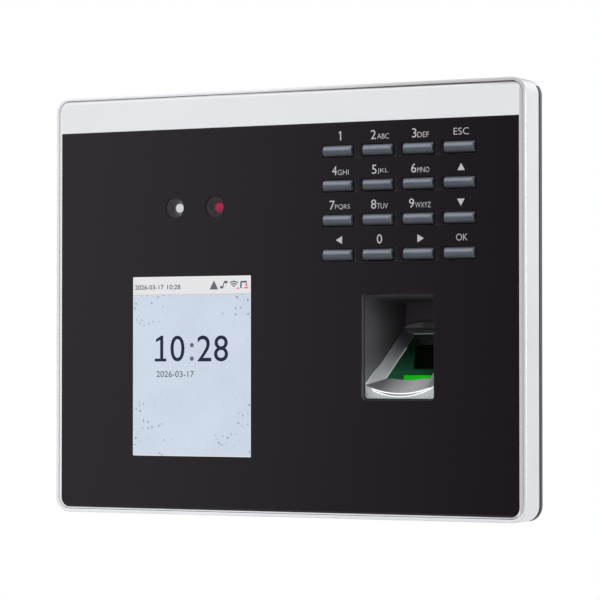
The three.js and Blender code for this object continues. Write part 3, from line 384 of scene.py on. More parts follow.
def screen_light(nodes):
    """The lit screen: header bar, pale body and a scatter of faint flecks."""
    size, tint, view = sizes(), colours(), picture()
    bar = view.top - size["header_height"]
    line_height, edge = 0.18, 0.2
    x, _, z = nodes.place()
    across, rise = abs(x - view.x), abs(z - view.z)
    inside = (across < view.width / 2 - edge) * z.between(view.bottom + edge, view.top - edge)
    body = nodes.mix(nodes.noise(18.0, 3.0).ramp(0.35, 0.7), tint["screen"],
                     shaded(tint["screen"], 1.05))
    corner = across / (PICTURE_WIDTH / 2) * rise / (PICTURE_HEIGHT / 2)
    patches = nodes.noise(5.0, 2.0).ramp(0.44, 0.52) * corner.ramp(0.2, 0.45, 0.1, 1.0)
    fleck = nodes.cells("F1", 1.7).ramp(0.14, 0.28, 1.0, 0.0) * patches
    body = nodes.mix(fleck * 0.75, body, tone(112, 122, 138))
    glow = nodes.mix(z.between(bar - line_height, bar), nodes.mix(z > bar, body, tint["header"]),
                     tone(196, 200, 212))
    glow = nodes.mix((1 - inside) * 0.7, glow, tone(246, 247, 250))
    return {"Base Color": [0.02, 0.02, 0.02, 1.0], "Emission Color": glow, "Emission Strength": 0.91,
            "Roughness": nodes.noise(30.0, 3.0).ramp(0.3, 0.7, 0.05, 0.1),
            "Normal": nodes.bump(nodes.noise(40.0, 1.0), 0.01)}


def glow_ink(name, tint, strength=0.95):
    """Ink on the lit screen: it glows in its own colour, with a slight unevenness. The camera lenses use
    it too, for painted reflections.
    """
    def build(nodes):
        return {"Base Color": [0.01, 0.01, 0.01, 1.0], "Emission Strength": strength,
                "Specular IOR Level": 0.12,
                "Emission Color": nodes.mix(nodes.noise(2.0, 2.0), shaded(tint, 0.9), tint),
                "Roughness": nodes.noise(8.0, 3.0).ramp(0.3, 0.7, 0.06, 0.14)}
    return material(build, name)


def pocket_wall(nodes):
    """Satin grey moulding, with painted shade at the back, above and in the recess, and painted green
    light below.
    """
    tint = colours()["pocket"]
    middle = extent("finger_pocket").z
    _, depth, z = nodes.place()
    fine = nodes.noise(0.15, 2.0)
    cloud, body = nodes.clouded(tint, 0.85, 9.0)
    rise = z - middle
    recess_front, recess_bottom = 28.6, -2.0
    # Painted shade: darker the deeper into the pocket
    body = nodes.mix(depth.ramp(9, 31), body, tone(78, 72, 78))
    # Painted shade: darker towards the top of the pocket
    body = nodes.mix(rise.ramp(6, 17) * 0.45, body, tone(40, 37, 41))
    # Painted shade in a band low on the back wall
    recess_shade = rise.ramp(2.6, 4.6, 1.0, 0.0) * (rise > recess_bottom) * (depth > recess_front)
    body = nodes.mix(recess_shade * 0.8, body, tone(30, 27, 31))
    # Painted green light: a green cast low down near the front, as from the sensor's light bar
    green = rise.ramp(-15, -4, 1.0, 0.0) * depth.ramp(3, 14, 1.0, 0.0)
    return {"Base Color": nodes.mix(green * 0.6, body, tone(112, 158, 148)),
            "Roughness": cloud.ramp(0.3, 0.7, 0.34, 0.46) + (fine - 0.5) * 0.1,
            "Normal": nodes.bump(fine, 0.003)}


def surround_paint(name, part):
    """Silver-grey paint of the sensor's surround, with painted shade deep in the pocket, on the bezel's
    front face and at the scoop's ends, and darker at the flank's foot.
    """
    tint = colours()[part]
    centre = extent("sensor_glass").x

    def build(nodes):
        x, depth, _ = nodes.place()
        across = x - centre
        fine = nodes.noise(0.12, 2.0)
        cloud, body = nodes.clouded(tint, 0.88, 6.0)
        if part == "bezel":
            face_back = 1.9
            # The foot of the left flank is a wedge that runs deeper towards the glass
            foot = (across < -7.3) * (depth > face_back) * (depth < (across + 12) * 1.33 + 1.8)
            # Painted shade on the bezel's front face, stronger towards the left
            face = (depth < face_back) * across.ramp(-12, 0, 0.4, 0.12)
            body = nodes.mix(face, body, tone(150, 150, 156))
        else:
            # Painted shade at both ends of the scoop, stronger at the left end
            foot = across.ramp(-9, 2, 1.0, 0.0) + across.ramp(7.5, 10, 0.0, 0.7)
        body = nodes.mix(foot, body, tone(112, 112, 116))
        # Painted shade: darker the deeper into the pocket
        return {"Base Color": nodes.mix(depth.ramp(13, 27), body, tone(92, 88, 93)),
                "Roughness": cloud.ramp(0.3, 0.7, 0.3, 0.42) + (fine - 0.5) * 0.08,
                "Metallic": fine.ramp(0.3, 0.7, 0.05, 0.2),
                "Normal": nodes.bump(fine, 0.002)}
    return material(build, name)


def stop_grey(nodes):
    """End stop of the pocket, with painted light on its left shoulder and painted shade to its right."""
    centre = extent("sensor_glass").x
    x, _, _ = nodes.place()
    cloud = nodes.noise(5.0, 4.0)
    # Painted light and shade: paler at the left shoulder, darker to the right
    body = nodes.mix((x - centre).ramp(-5.2, -3.7), tone(126, 121, 126), tone(84, 80, 84))
    return {"Base Color": nodes.mix(cloud.ramp(0.3, 0.7, 0.0, 0.15), body, tone(60, 58, 60)),
            "Roughness": cloud.ramp(0.25, 0.75, 0.36, 0.44),
            "Normal": nodes.bump(nodes.noise(0.12, 2.0), 0.004)}


def light_well(nodes):
    """Black walls under the glass, with painted green light beside the bar and just above it, fading
    further up.
    """
    bar = extent("light_bar")
    x, _, z = nodes.place()
    across, rise = x - bar.x, z - bar.top
    # Painted green light on the walls left of the bar, fading upwards, and on a band just above the bar
    wall = (across < -6.5) * rise.ramp(-3, 9, 1.05, 0.06)
    shelf = rise.ramp(1.2, 2.4, 1.0, 0.0) * across.ramp(-8, 6, 0.9, 0.4)
    glow = nodes.mix(wall.at_least(shelf), tone(2, 4, 2), tone(28, 74, 50))
    uneven = nodes.noise(3.0, 3.0)
    return {"Base Color": nodes.mix(uneven, [0.002, 0.002, 0.002, 1.0], [0.006, 0.007, 0.006, 1.0]),
            "Emission Color": glow, "Emission Strength": 0.9, "Specular IOR Level": 0.0,
            "Roughness": uneven.ramp(0.3, 0.7, 0.5, 0.7)}


# Near-black: painted shade in the gaps at the pocket's front and above the sensor glass
def black_gap():
    return plain("black_gap", tone(10, 9, 11), 0.7, relief=0.002, patch=4.0)


def cover_grain(nodes):
    """Grained moulding, with painted shade in the groove behind the frame, and silver on its rim along the
    top.
    """
    tint = colours()
    groove_depth, rim_back, rim_top = 10.9, 12.5, 65.7
    _, depth, z = nodes.place()
    cloud, body = nodes.clouded(tint["cover"], 0.92, 14.0, 4.0)
    grain = nodes.noise(0.35, 2.0)
    # Painted shade in the groove behind the frame, reaching deeper at the lower corners and stronger
    # towards the bottom
    lower_corners = z.ramp(-67.5, -62.0, 1.4, 0.0)
    groove_shade = (depth - lower_corners).ramp(groove_depth, groove_depth + 0.4, 1.0, 0.0)
    body = nodes.mix(groove_shade * z.ramp(-66, 30, 0.9, 0.3), body, tone(22, 22, 26))
    return {"Base Color": nodes.mix((depth < rim_back) * (z > rim_top), body, tint["paint"]),
            "Roughness": cloud.ramp(0.25, 0.75, 0.46, 0.54) + (grain - 0.5) * 0.08,
            "Normal": nodes.bump(grain, 0.02)}


# White threads that glow: painted highlights along the lips and up the flank
def bright_lip():
    return plain("bright_lip", tone(246, 248, 250), 0.22, relief=0.0005, patch=6.0, shade=0.04,
                 **{"Emission Color": [1.0, 1.0, 1.0, 1.0], "Emission Strength": 0.35})


def screw_steel():
    return plain("screw_steel", tone(186, 188, 192), 0.26, Metallic=1.0)


def smoky_glass(nodes):
    """Dark clear window with a slight smear."""
    smear = nodes.noise(4.0, 3.0)
    return {"Base Color": nodes.mix(smear, tone(40, 40, 43), tone(52, 52, 56)),
            "Roughness": smear.ramp(0.3, 0.7, 0.03, 0.08), "Alpha": smear.ramp(0.2, 0.8, 0.16, 0.22),
            "IOR": 1.45}


def sensor_surface(nodes):
    """Clear glass with a faint smear of finger marks."""
    smear = nodes.noise(3.0, 4.0)
    ridge = nodes.noise(0.35, 2.0, (2.5, 1, 1))
    return {"Base Color": nodes.mix(smear, tone(6, 12, 8), tone(16, 28, 22)),
            "Roughness": smear.ramp(0.35, 0.7, 0.04, 0.2) + ridge * 0.03,
            "Alpha": smear.ramp(0.3, 0.7, 0.05, 0.1), "IOR": 1.4}


def lit_bar(nodes):
    """Green light that falls off towards the bar's ends and edges."""
    tint, bar = colours()["light"], extent("light_bar")
    x, _, z = nodes.place()
    fall = abs(x - bar.x).ramp(2.0, 6.5, 1.0, 0.75) * abs(z - bar.z).ramp(0.5, 3.0, 1.0, 0.85)
    return {"Base Color": [0.01, 0.05, 0.01, 1.0], "Emission Strength": 1.4,
            "Emission Color": nodes.mix(fall, [tint[0], tint[1] * 0.6, tint[2], 1.0], tint),
            "Roughness": nodes.noise(2.0).ramp(0.3, 0.7, 0.3, 0.45)}


def board_mask(nodes):
    """Green solder mask with raised tracks and bright pads."""
    line = nodes.cells("DISTANCE_TO_EDGE", 2.2).ramp(0.03, 0.08, 1.0, 0.0)
    metal = nodes.cells("F1", 1.6).ramp(0.12, 0.18, 1.0, 0.0)
    body = nodes.mix(line * 0.6, tone(22, 84, 48), tone(52, 128, 82))
    return {"Base Color": nodes.mix(metal, body, tone(196, 190, 170)),
            "Metallic": metal * 0.8, "Roughness": nodes.noise(6.0).ramp(0.3, 0.7, 0.35, 0.5),
            "Normal": nodes.bump(line + metal, 0.03)}


# ---------------------------------------------------------------- meshes

def grown(width, height, radius, at, steps):
    """A function that gives a rounded rectangle about the middle of a span, grown by a distance.

    Its points run anticlockwise as seen from the front.
    """
    def outline(by):
        turn = max(0.02, radius + by)
        points = []
        for quarter, (side_x, side_z) in enumerate(((1, 1), (-1, 1), (-1, -1), (1, -1))):
            for step in range(steps + 1):
                angle = math.pi / 2 * (quarter + step / steps)
                points.append((at.x + side_x * (width / 2 + by - turn) + turn * math.cos(angle),
                               at.z + side_z * (height / 2 + by - turn) + turn * math.sin(angle)))
        return points
    return outline


def arc(from_grow, from_depth, to_grow, to_depth, steps=4):
    """A quarter round between two points of a profile, bulging away from the body's inside."""
    return [(from_grow + (to_grow - from_grow) * math.sin(math.pi / 2 * step / steps),
             from_depth + (to_depth - from_depth) * (1 - math.cos(math.pi / 2 * step / steps)))
            for step in range(steps + 1)]


class Shape:
    """Collects rings and flat shapes, in millimetres, into one mesh.

    Flat shapes stand at the given depth and are as thick as given. New faces get the current paint.
    """

    def __init__(self, depth=0.0, thickness=0.02):
        self.mesh = bmesh.new()
        self.depth = depth
        self.thickness = thickness
        self.paint = 0

    def ring(self, points):
        return [self.mesh.verts.new((x * MM, (depth - FRONT) * MM, z * MM)) for x, depth, z in points]

    def flat_ring(self, outline, depth):
        return self.ring([(x, depth, z) for x, z in outline])

    def face(self, corners):
        made = self.mesh.faces.new(corners)
        made.material_index = self.paint
        made.smooth = True

    def skin(self, rings):
        for first, second in zip(rings, rings[1:]):
            for i, corner in enumerate(first):
                after = (i + 1) % len(first)
                self.face((corner, first[after], second[after], second[i]))

    def cap(self, *loops):
        corners = [corner for loop in loops for corner in loop]
        for triangle in tessellate_polygon([[corner.co for corner in loop] for loop in loops]):
            self.face([corners[i] for i in triangle])

    def tube(self, rings):
        """Skins the rings and closes both ends."""
        self.skin(rings)
        self.cap(rings[0])
        self.cap(rings[-1])

    def plate(self, outline, profile, holes=()):
        """A plate whose profile goes from its front face round its edge to its back face."""
        outer = [self.flat_ring(outline(grow), depth) for grow, depth in profile]
        self.skin(outer)
        inner = []
        for hole_outline, hole_profile in holes:
            rings = [self.flat_ring(hole_outline(grow), depth) for grow, depth in hole_profile]
            self.skin(rings)
            inner.append(rings)
        self.cap(outer[0], *[rings[0] for rings in inner])
        self.cap(outer[-1], *[rings[-1] for rings in inner])

    def lathe(self, at, profile, sides=40):
        """Turns radius and depth pairs about an axis that runs front to back.

        A third value is the height of six lobes, as a share of the radius.
        """
        turns = [2 * math.pi * i / sides for i in range(sides)]
        rings = []
        for radius, depth, *lobe in profile:
            reach = [radius * (1 + sum(lobe) * math.cos(6 * turn)) for turn in turns]
            rings.append(self.flat_ring([(at.x + far * math.cos(turn), at.z + far * math.sin(turn))
                                         for far, turn in zip(reach, turns)], depth))
        self.tube(rings)

    def copy(self, node):
        """Takes the outline of a CAD node, with its split faces joined again."""
        self.mesh.from_mesh(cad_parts[node].data)
        bmesh.ops.remove_doubles(self.mesh, verts=self.mesh.verts, dist=1e-6)
        bmesh.ops.dissolve_limit(self.mesh, angle_limit=math.radians(0.5),
                                 verts=self.mesh.verts, edges=self.mesh.edges)
        for face in self.mesh.faces:
            face.smooth = True
        return self

    def bead(self, path, radius, sides=8):
        """A round thread along a path of across, depth and height."""
        turns = [2 * math.pi * i / sides for i in range(sides)]
        rings = []
        for i, spot in enumerate(path):
            along = (Vector(path[min(i + 1, len(path) - 1)]) - Vector(path[max(i - 1, 0)])).normalized()
            first = along.cross(Vector((0, 0, 1))).normalized()
            second = along.cross(first)
            rings.append(self.ring([
                Vector(spot) + radius * (math.cos(turn) * first + math.sin(turn) * second)
                for turn in turns]))
        self.tube(rings)

    def polygon(self, points):
        """A raised flat shape from its corners."""
        part = bmesh.new()
        part.faces.new([part.verts.new((x * MM, (self.depth - FRONT) * MM, z * MM)) for x, z in points])
        self.raise_faces(part)

    def words(self, text, left, right, bottom, height, bold, condensed=1.0):
        """Raised characters between two sides, or centred on left where right is None."""
        curve = bpy.data.curves.new("word", "FONT")
        curve.body = text
        curve.resolution_u = 5
        curve.offset = bold
        carrier = bpy.data.objects.new("word", curve)
        flat = bpy.data.meshes.new_from_object(carrier)
        bpy.data.objects.remove(carrier)
        spots = [vertex.co for vertex in flat.vertices]
        low_x, high_x = min(spot.x for spot in spots), max(spot.x for spot in spots)
        low_y, high_y = min(spot.y for spot in spots), max(spot.y for spot in spots)
        tall = height / (high_y - low_y)
        wide = tall * condensed if right is None else (right - left) / (high_x - low_x)
        start = left - wide * (high_x - low_x) / 2 if right is None else left
        part = bmesh.new()
        part.from_mesh(flat)
        bpy.data.meshes.remove(flat)
        bmesh.ops.remove_doubles(part, verts=part.verts, dist=1e-5)
        for vertex in part.verts:
            spot = vertex.co
            vertex.co = ((start + wide * (spot.x - low_x)) * MM, (self.depth - FRONT) * MM,
                         (bottom + tall * (spot.y - low_y)) * MM)
        self.raise_faces(part)

    def one(self, left, right, bottom, height, stroke, foot=False):
        """The digit 1: an upright with a flag, and a foot where it stands in a clock."""
        top = bottom + height
        stem = (left + right) / 2 + 0.1 * (right - left) - stroke / 2 if foot else right - stroke
        tip = left + 0.1 * (right - left) if foot else left
        outline = [(stem + stroke, top), (stem + 0.3 * stroke, top), (tip, top - 0.14 * height),
                   (tip, top - 0.25 * height), (stem, top - 0.17 * height)]
        if foot:
            sole = bottom + 0.8 * stroke
            outline += [(stem, sole), (left, sole), (left, bottom), (right, bottom), (right, sole),
                        (stem + stroke, sole)]
        else:
            outline += [(stem, bottom), (stem + stroke, bottom)]
        self.polygon(outline)

    def raise_faces(self, part):
        """Adds flat faces, thickened towards the back, to this shape."""
        front, back = ({vertex: self.mesh.verts.new(vertex.co + Vector((0, depth * MM, 0)))
                        for vertex in part.verts} for depth in (0, self.thickness))
        faces = [[side[vertex] for vertex in face.verts] for side in (front, back) for face in part.faces]
        for edge in part.edges:
            if edge.is_boundary:
                start, end = edge.verts
                faces.append((front[start], front[end], back[end], back[start]))
        for corners in faces:
            self.mesh.faces.new(corners).material_index = self.paint
        part.free()

    def done(self, name, slot, *finishes, body=SHELL, sharp=35.0, replaced=(), weighted=True, bevel=0.0):
        """Closes the shape into a named piece that rides on a body and stands for CAD nodes."""
        bmesh.ops.recalc_face_normals(self.mesh, faces=self.mesh.faces[:])
        data = bpy.data.meshes.new(name)
        self.mesh.to_mesh(data)
        self.mesh.free()
        piece = placed(name, data)
        for finish in finishes:
            data.materials.append(finish)
        if bevel:
            ease = piece.modifiers.new("eased edges", "BEVEL")
            ease.width = bevel * MM
            ease.segments = 3
            ease.limit_method = "ANGLE"
            ease.angle_limit = math.radians(sharp)
        else:
            data.set_sharp_from_angle(angle=math.radians(sharp))
        if weighted:
            normals = piece.modifiers.new("even shading", "WEIGHTED_NORMAL")
            normals.keep_sharp = True
        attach(piece, body)
        if replaced:
            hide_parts(*replaced)


def placed(name, data):
    """Puts an object with this data in the scene."""
    made = bpy.data.objects.new(name, data)
    bpy.context.scene.collection.objects.link(made)
    return made


def key_openings(profile):
    """Slots for the sixteen keys, each an outline and a profile."""
    return [(grown(*KEY_SLOT, extent("key_" + key), 3), profile) for key in KEYS]


# ---------------------------------------------------------------- pieces

class TERMINAL_OT_stage(Operator):
    """Camera at the photograph's viewing angle, pale floor and soft studio light"""
    bl_idname = "terminal.make_stage"
    bl_label = "Studio"

    def execute(self, context):
        scene = context.scene
        scene.view_settings.view_transform = "Standard"
        data = bpy.data.cameras.new("view")
        data.lens = 175.1
        data.sensor_width = 36.0
        camera = placed("view", data)
        camera.location = (0.4252, -0.816 - FRONT * MM, -0.0204)
        camera.rotation_euler = (math.radians(91.3135), 0, math.radians(27.158))
        scene.camera = camera

        mesh = bmesh.new()
        bmesh.ops.create_grid(mesh, x_segments=8, y_segments=8, size=0.7)
        bmesh.ops.translate(mesh, verts=mesh.verts, vec=(0, 0, -0.2))
        data = bpy.data.meshes.new("floor")
        mesh.to_mesh(data)
        mesh.free()
        data.materials.append(plain("floor_card", (0.82, 0.82, 0.82, 1.0), 0.8, patch=200, shade=0.02))
        placed("floor", data)

        # Place of each lamp in metres, its power in watts and its side in metres
        for name, place, energy, size in (
                ("key_light", (-0.9, -1.1, 1.3), 14.4, 1.8),
                ("right_light", (1.4, -0.6, 0.12), 1.9, 0.35),
                ("back_light", (0.3, 1.5, 0.5), 2.0, 0.9)):
            lamp = bpy.data.lights.new(name, "AREA")
            lamp.energy = energy
            lamp.size = size
            holder = placed(name, lamp)
            holder.location = place
            holder.rotation_euler = (-Vector(place)).to_track_quat("-Z", "Y").to_euler()

        # Dimmer below and in the part that the lens mirrors, and white to the camera
        world = bpy.data.worlds.new("studio")
        scene.world = world
        world.use_nodes = True
        nodes = Nodes(world.node_tree)
        across, _, up = nodes.split(nodes.add("ShaderNodeTexCoord", output="Generated"))
        mirrored = across.ramp(-0.54, -0.36, 1.0, 0.25) + across.ramp(-0.3, 0.1, 0.0, 0.6)
        fill = up.ramp(-0.7, 0.2, 0.34, 0.84) * up.ramp(0.5, 0.85, 1.0, 1.5) * mirrored
        seen = nodes.add("ShaderNodeLightPath", output="Is Camera Ray")
        background = nodes.add("ShaderNodeBackground", None,
                               {"Color": [1, 1, 1, 1], "Strength": fill + seen * (1 - fill)})
        nodes.add("ShaderNodeOutputWorld", None, {"Surface": background})
        return {"FINISHED"}


class TERMINAL_OT_frame_shell(Operator):
    """Silver front frame with its rim, side walls and front wall"""
    bl_idname = "terminal.make_frame_shell"
    bl_label = "Front frame"

    def execute(self, context):
        size, box = sizes(), extent("front_frame")
        ease, back_ease = size["rim_round"], size["back_round"]
        shelf, wall_back, rim, wall, chamfer = 2.0, 3.8, 1.1, 2.2, 0.2
        profile = [(-rim, shelf), (-rim, 0.25), (-rim + 0.05, 0.08), (-rim + 0.18, 0.0), (-ease, 0.0)]
        profile += arc(-ease, 0.0, 0.0, ease, 5)[1:]
        profile += arc(-back_ease, box.back, 0.0, box.back - back_ease)[::-1]
        profile += [(chamfer - wall, box.back), (-wall, box.back - chamfer), (-wall, wall_back)]
        through = [(0, shelf), (0, wall_back)]
        holes = key_openings(through)
        holes.append((grown(*DISPLAY_OPENING, extent("display_panel"), 2), through))
        holes.append((grown(*POCKET_OPENING, extent("finger_pocket"), 6), through))
        holes += [(grown(*CAMERA_OPENING, extent(camera), 6), through) for camera in CAMERAS]
        shape = Shape()
        shape.plate(grown(box.width, box.height, FRAME_CORNER, box, 14), profile, holes)
        shape.done("frame_shell", "frame_silver", material(silver_paint), replaced=["front_frame"])
        return {"FINISHED"}


class TERMINAL_OT_lens(Operator):
    """Lens with its bevelled border, key slots, windows and finger opening"""
    bl_idname = "terminal.make_lens"
    bl_label = "Lens"

    def execute(self, context):
        size, box, view = sizes(), extent("front_lens"), picture()
        bevel, depth, edge = size["lens_bevel"], size["lens_bevel_depth"], size["opening_round"]
        back = box.back
        profile = [(-bevel - 0.1, 0.0), (-bevel + 0.06, 0.02), (-0.12, depth - 0.06),
                   (-0.03, depth + 0.02), (0, depth + 0.14), (0, back - 0.12), (-0.12, back)]
        through = [(0, 0), (0, back)]
        holes = key_openings([(0.1, 0), (0.03, 0.03), (0, 0.1), (0, back)])
        holes.append((grown(*FINGER_OPENING, extent("finger_pocket"), 6),
                      arc(0, edge, edge, 0)[::-1] + [(0, back)]))
        holes += [(grown(*CAMERA_HOLE, extent(camera), 8), through) for camera in CAMERAS]
        holes.append((grown(view.width, view.height, PICTURE_CORNER, view, 2), through))
        shape = Shape()
        shape.plate(grown(box.width, box.height, LENS_CORNER, box, 12), profile, holes)
        shape.done("lens", "lens_black", material(lens_print), sharp=30.0, replaced=["front_lens"])
        return {"FINISHED"}


class TERMINAL_OT_keys(Operator):
    """Sixteen round-backed bar keys with leaning ends, each on its own flange"""
    bl_idname = "terminal.make_keys"
    bl_label = "Keys"

    def execute(self, context):
        ease = sizes()["key_round"]
        half_x, half, proud, crown, lean, flange = 5.25, 1.8, 1.5, 1.3, 0.35, 0.8
        radius = (half ** 2 + crown ** 2) / (2 * crown)
        swing = math.asin(half / radius)
        steps = 20
        turns = [swing * (2 * i / steps - 1) for i in range(steps + 1)]
        quarter = [math.pi / 2 * i / 6 for i in range(7)]
        ends = [(-1, bend) for bend in reversed(quarter)] + [(1, bend) for bend in quarter]
        for key in KEYS:
            node = "key_" + key
            box = extent(node)
            seat = box.back - flange

            def section(side, bend):
                """Outline of the bar near its leaning end, where the rounding has turned by bend."""
                drop, pull = ease * (1 - math.cos(bend)), ease * (1 - math.sin(bend))
                crest = [(radius * (1 - math.cos(turn)) - proud + drop * math.cos(turn),
                          (radius - drop) * math.sin(turn)) for turn in turns]
                foot = half - drop
                outline = [(seat, -foot), (0, -foot)] + crest + [(0, foot), (seat, foot)]
                reach = half_x - pull
                return [(box.x + side * (reach - lean * max(0, -depth) / proud), depth, box.z + height)
                        for depth, height in outline]

            shape = Shape()
            shape.tube([shape.ring(section(side, bend)) for side, bend in ends])
            shape.plate(grown(*KEY_FLANGE, box, 3), [(0, seat), (0, box.back)])
            shape.done("keycap_" + key, "key_metallic", material(key_paint), body=node, replaced=[node])
        return {"FINISHED"}


class TERMINAL_OT_legends(Operator):
    """Plain digits, letters and arrows printed above the keys"""
    bl_idname = "terminal.make_legends"
    bl_label = "Key legends"

    def execute(self, context):
        size = sizes()
        tall, small = size["digit_height"], size["letter_height"]
        word_height, above, arrow_above = 2.1, 4.8, 4.7
        shape = Shape(-0.015)
        # The middle of each digit, then the letters with their left and right
        for key, x, letters, left, right in (
                ("1", 20.7, "", 0, 0), ("2", 32.2, "ABC", 33.5, 37.6), ("3", 46.2, "DEF", 47.3, 51.2),
                ("4", 18.7, "GHI", 19.8, 23.6), ("5", 32.5, "JKL", 33.6, 37.3),
                ("6", 46.0, "MNO", 47.2, 51.3), ("7", 17.9, "PQRS", 18.9, 24.1),
                ("8", 32.3, "TUV", 33.4, 37.2), ("9", 45.3, "WXYZ", 46.5, 51.8), ("0", 34.3, "", 0, 0)):
            bottom = extent("key_" + key).z + above - tall / 2
            if key == "1":
                shape.one(x - 0.55, x + 0.35, bottom, tall, 0.4)
            else:
                shape.words(key, x, None, bottom, tall, 0.0, 0.86 if key == "4" else 1.0)
            if letters:
                shape.words(letters, left, right, bottom, small, -0.008)
        for key, text, left, right in (("esc", "ESC", 59.5, 64.6), ("ok", "OK", 60.3, 64.1)):
            bottom = extent("key_" + key).z + above - word_height / 2
            shape.words(text, left, right, bottom, word_height, -0.01)
        arrow = [(1.15, 0), (-1.05, 1.25), (-1.05, -1.25)]
        for key, x, degrees in (
                ("up", 62.0, 90), ("down", 61.9, -90), ("left", 20.3, 180), ("right", 48.3, 0)):
            z = extent("key_" + key).z + arrow_above
            cos, sin = math.cos(math.radians(degrees)), math.sin(math.radians(degrees))
            shape.polygon([(x + a * cos - b * sin, z + a * sin + b * cos) for a, b in arrow])
        ink = plain("legend_ink", colours()["legend"], 0.45, relief=0.001, patch=3.0, shade=0.08)
        shape.done("key_legends", "frame_silver", ink, weighted=False)
        return {"FINISHED"}


class TERMINAL_OT_display(Operator):
    """Lit screen in its window, with plain digits and small status marks"""
    bl_idname = "terminal.make_display"
    bl_label = "Display"
    CLOCK_INK, DATE_INK, RED_INK, BLUE_INK = range(4)

    def execute(self, context):
        view, panel = picture(), extent("display_panel")
        face = grown(view.width, view.height, PICTURE_CORNER, view, 2)
        cell = grown(panel.width, panel.height, PICTURE_CORNER, panel, 2)
        shape = Shape()
        shape.tube([shape.flat_ring(face(-0.02), 0.02), shape.flat_ring(face(-0.02), 1.9),
                    shape.flat_ring(cell(0), 2.05), shape.flat_ring(cell(0), panel.back)])
        shape.done("display_screen", "display_glass", material(screen_light), replaced=["display_panel"])

        marks = Shape()
        left, clock_top, tall = view.left, view.top - 18.95, sizes()["clock_height"]
        marks.paint = self.CLOCK_INK
        marks.one(left + 8.1, left + 12.4, clock_top - tall, tall, 1.15, foot=True)
        for digit, start, end in (("0", 13.9, 19.1), ("2", 23.8, 28.9), ("8", 29.9, 35.0)):
            marks.words(digit, left + start, left + end, clock_top - tall, tall, 0.002)
        marks.paint = self.DATE_INK
        dot = 0.72
        for drop in (3.1, 7.4):
            marks.polygon([(left + 21.8 + dot * math.cos(i * math.pi / 12),
                            clock_top - drop + dot * math.sin(i * math.pi / 12)) for i in range(24)])
        # Left and right side of each text, its lower edge below the picture's top, height, boldness
        for text, start, end, drop, height, bold in (
                ("2026-03-17", 8.7, 22.6, 32.3, 2.0, 0.006),
                ("2026-03-17", 0.7, 11.4, 4.1, 1.55, 0.016),
                ("10:28", 12.7, 17.6, 4.1, 1.55, 0.016)):
            marks.words(text, left + start, left + end, view.top - drop, height, bold)
        self.status_marks(marks, left, view.top - 4.3)
        marks.done("screen_marks", "display_glass",
                   glow_ink("clock_ink", colours()["ink"]), glow_ink("date_ink", tone(104, 108, 118)),
                   glow_ink("mark_red", tone(226, 110, 116)), glow_ink("mark_blue", tone(52, 70, 122)),
                   weighted=False)
        return {"FINISHED"}

    def status_marks(self, marks, left, low):
        """Triangle, fan of arcs, two linked blocks, and a blue corner with red bars."""
        marks.polygon([(left + 28.3, low), (left + 31.4, low), (left + 29.85, low + 2.9)])
        for reach in (0.7, 1.4, 2.1):
            spots = [(reach + 0.2, i) for i in range(9)] + [(reach - 0.2, i) for i in range(8, -1, -1)]
            marks.polygon([(left + 37.1 + radius * math.sin((i / 8 - 0.5) * 1.5),
                            low + 0.4 + radius * math.cos((i / 8 - 0.5) * 1.5)) for radius, i in spots])
        # Ink, left side and lower edge of each bar, its width and height
        for ink, start, bottom, width, height in (
                (self.DATE_INK, 32.1, 0.3, 1.2, 0.8), (self.DATE_INK, 33.5, 1.9, 1.3, 0.8),
                (self.DATE_INK, 33.2, 0.9, 0.3, 1.2),
                (self.BLUE_INK, 39.6, 2.1, 2.2, 0.5), (self.BLUE_INK, 39.4, 0.3, 0.5, 2.0),
                (self.RED_INK, 40.8, 0.2, 1.5, 0.45), (self.RED_INK, 41.3, 0.9, 0.6, 1.0),
                (self.RED_INK, 38.1, 0.1, 0.9, 0.4)):
            marks.paint = ink
            x, z = left + start, low + bottom
            marks.polygon([(x, z), (x + width, z), (x + width, z + height), (x, z + height)])


class TERMINAL_OT_cameras(Operator):
    """Two camera barrels behind flush smoky windows"""
    bl_idname = "terminal.make_cameras"
    bl_label = "Cameras"

    def execute(self, context):
        black = plain("camera_barrel", tone(104, 100, 106), 0.3, relief=0.002, patch=1.6, shade=0.4)
        eye_radius, eye_rise = 1.45, 0.4
        quarter = [math.pi / 2 * i / 8 for i in range(1, 9)]
        for name, tint in zip(CAMERAS, (tone(255, 254, 255), tone(196, 34, 88))):
            box = extent(name)
            lid = box.front + 0.9
            dome = [(0.02, lid)] + [(eye_radius * math.sin(turn), lid + eye_rise * (1 - math.cos(turn)))
                                    for turn in quarter]
            barrel = [(1.6, lid + 0.35), (1.75, lid + 0.2), (3.2, 0.75), (3.36, 0.9), (3.36, 1.7),
                      (3.0, 2.0), (3.0, box.back - 1.4)]
            shape = Shape()
            shape.lathe(box, dome + barrel)
            shape.plate(grown(*CAMERA_FLANGE, box, 3),
                        [(-0.2, box.back - 2.4), (0, box.back - 2.2), (0, box.back)])
            # The lens discs glow: painted reflections, white on the left camera and red on the right
            for face in shape.mesh.faces:
                spot = face.calc_center_median() / MM
                near = math.hypot(spot.x - box.x, spot.z - box.z) < eye_radius
                face.material_index = int(near and spot.y + FRONT < lid + 0.5)
            shape.done(name + "_barrel", "camera_black", black, glow_ink(name + "_eye", tint, 0.98),
                       replaced=[name])
            glass = Shape()
            glass.plate(grown(*CAMERA_WINDOW, box, 10), [(0, 0.01), (0, 0.6)])
            glass.done(name + "_window", "camera_black", material(smoky_glass))
        return {"FINISHED"}


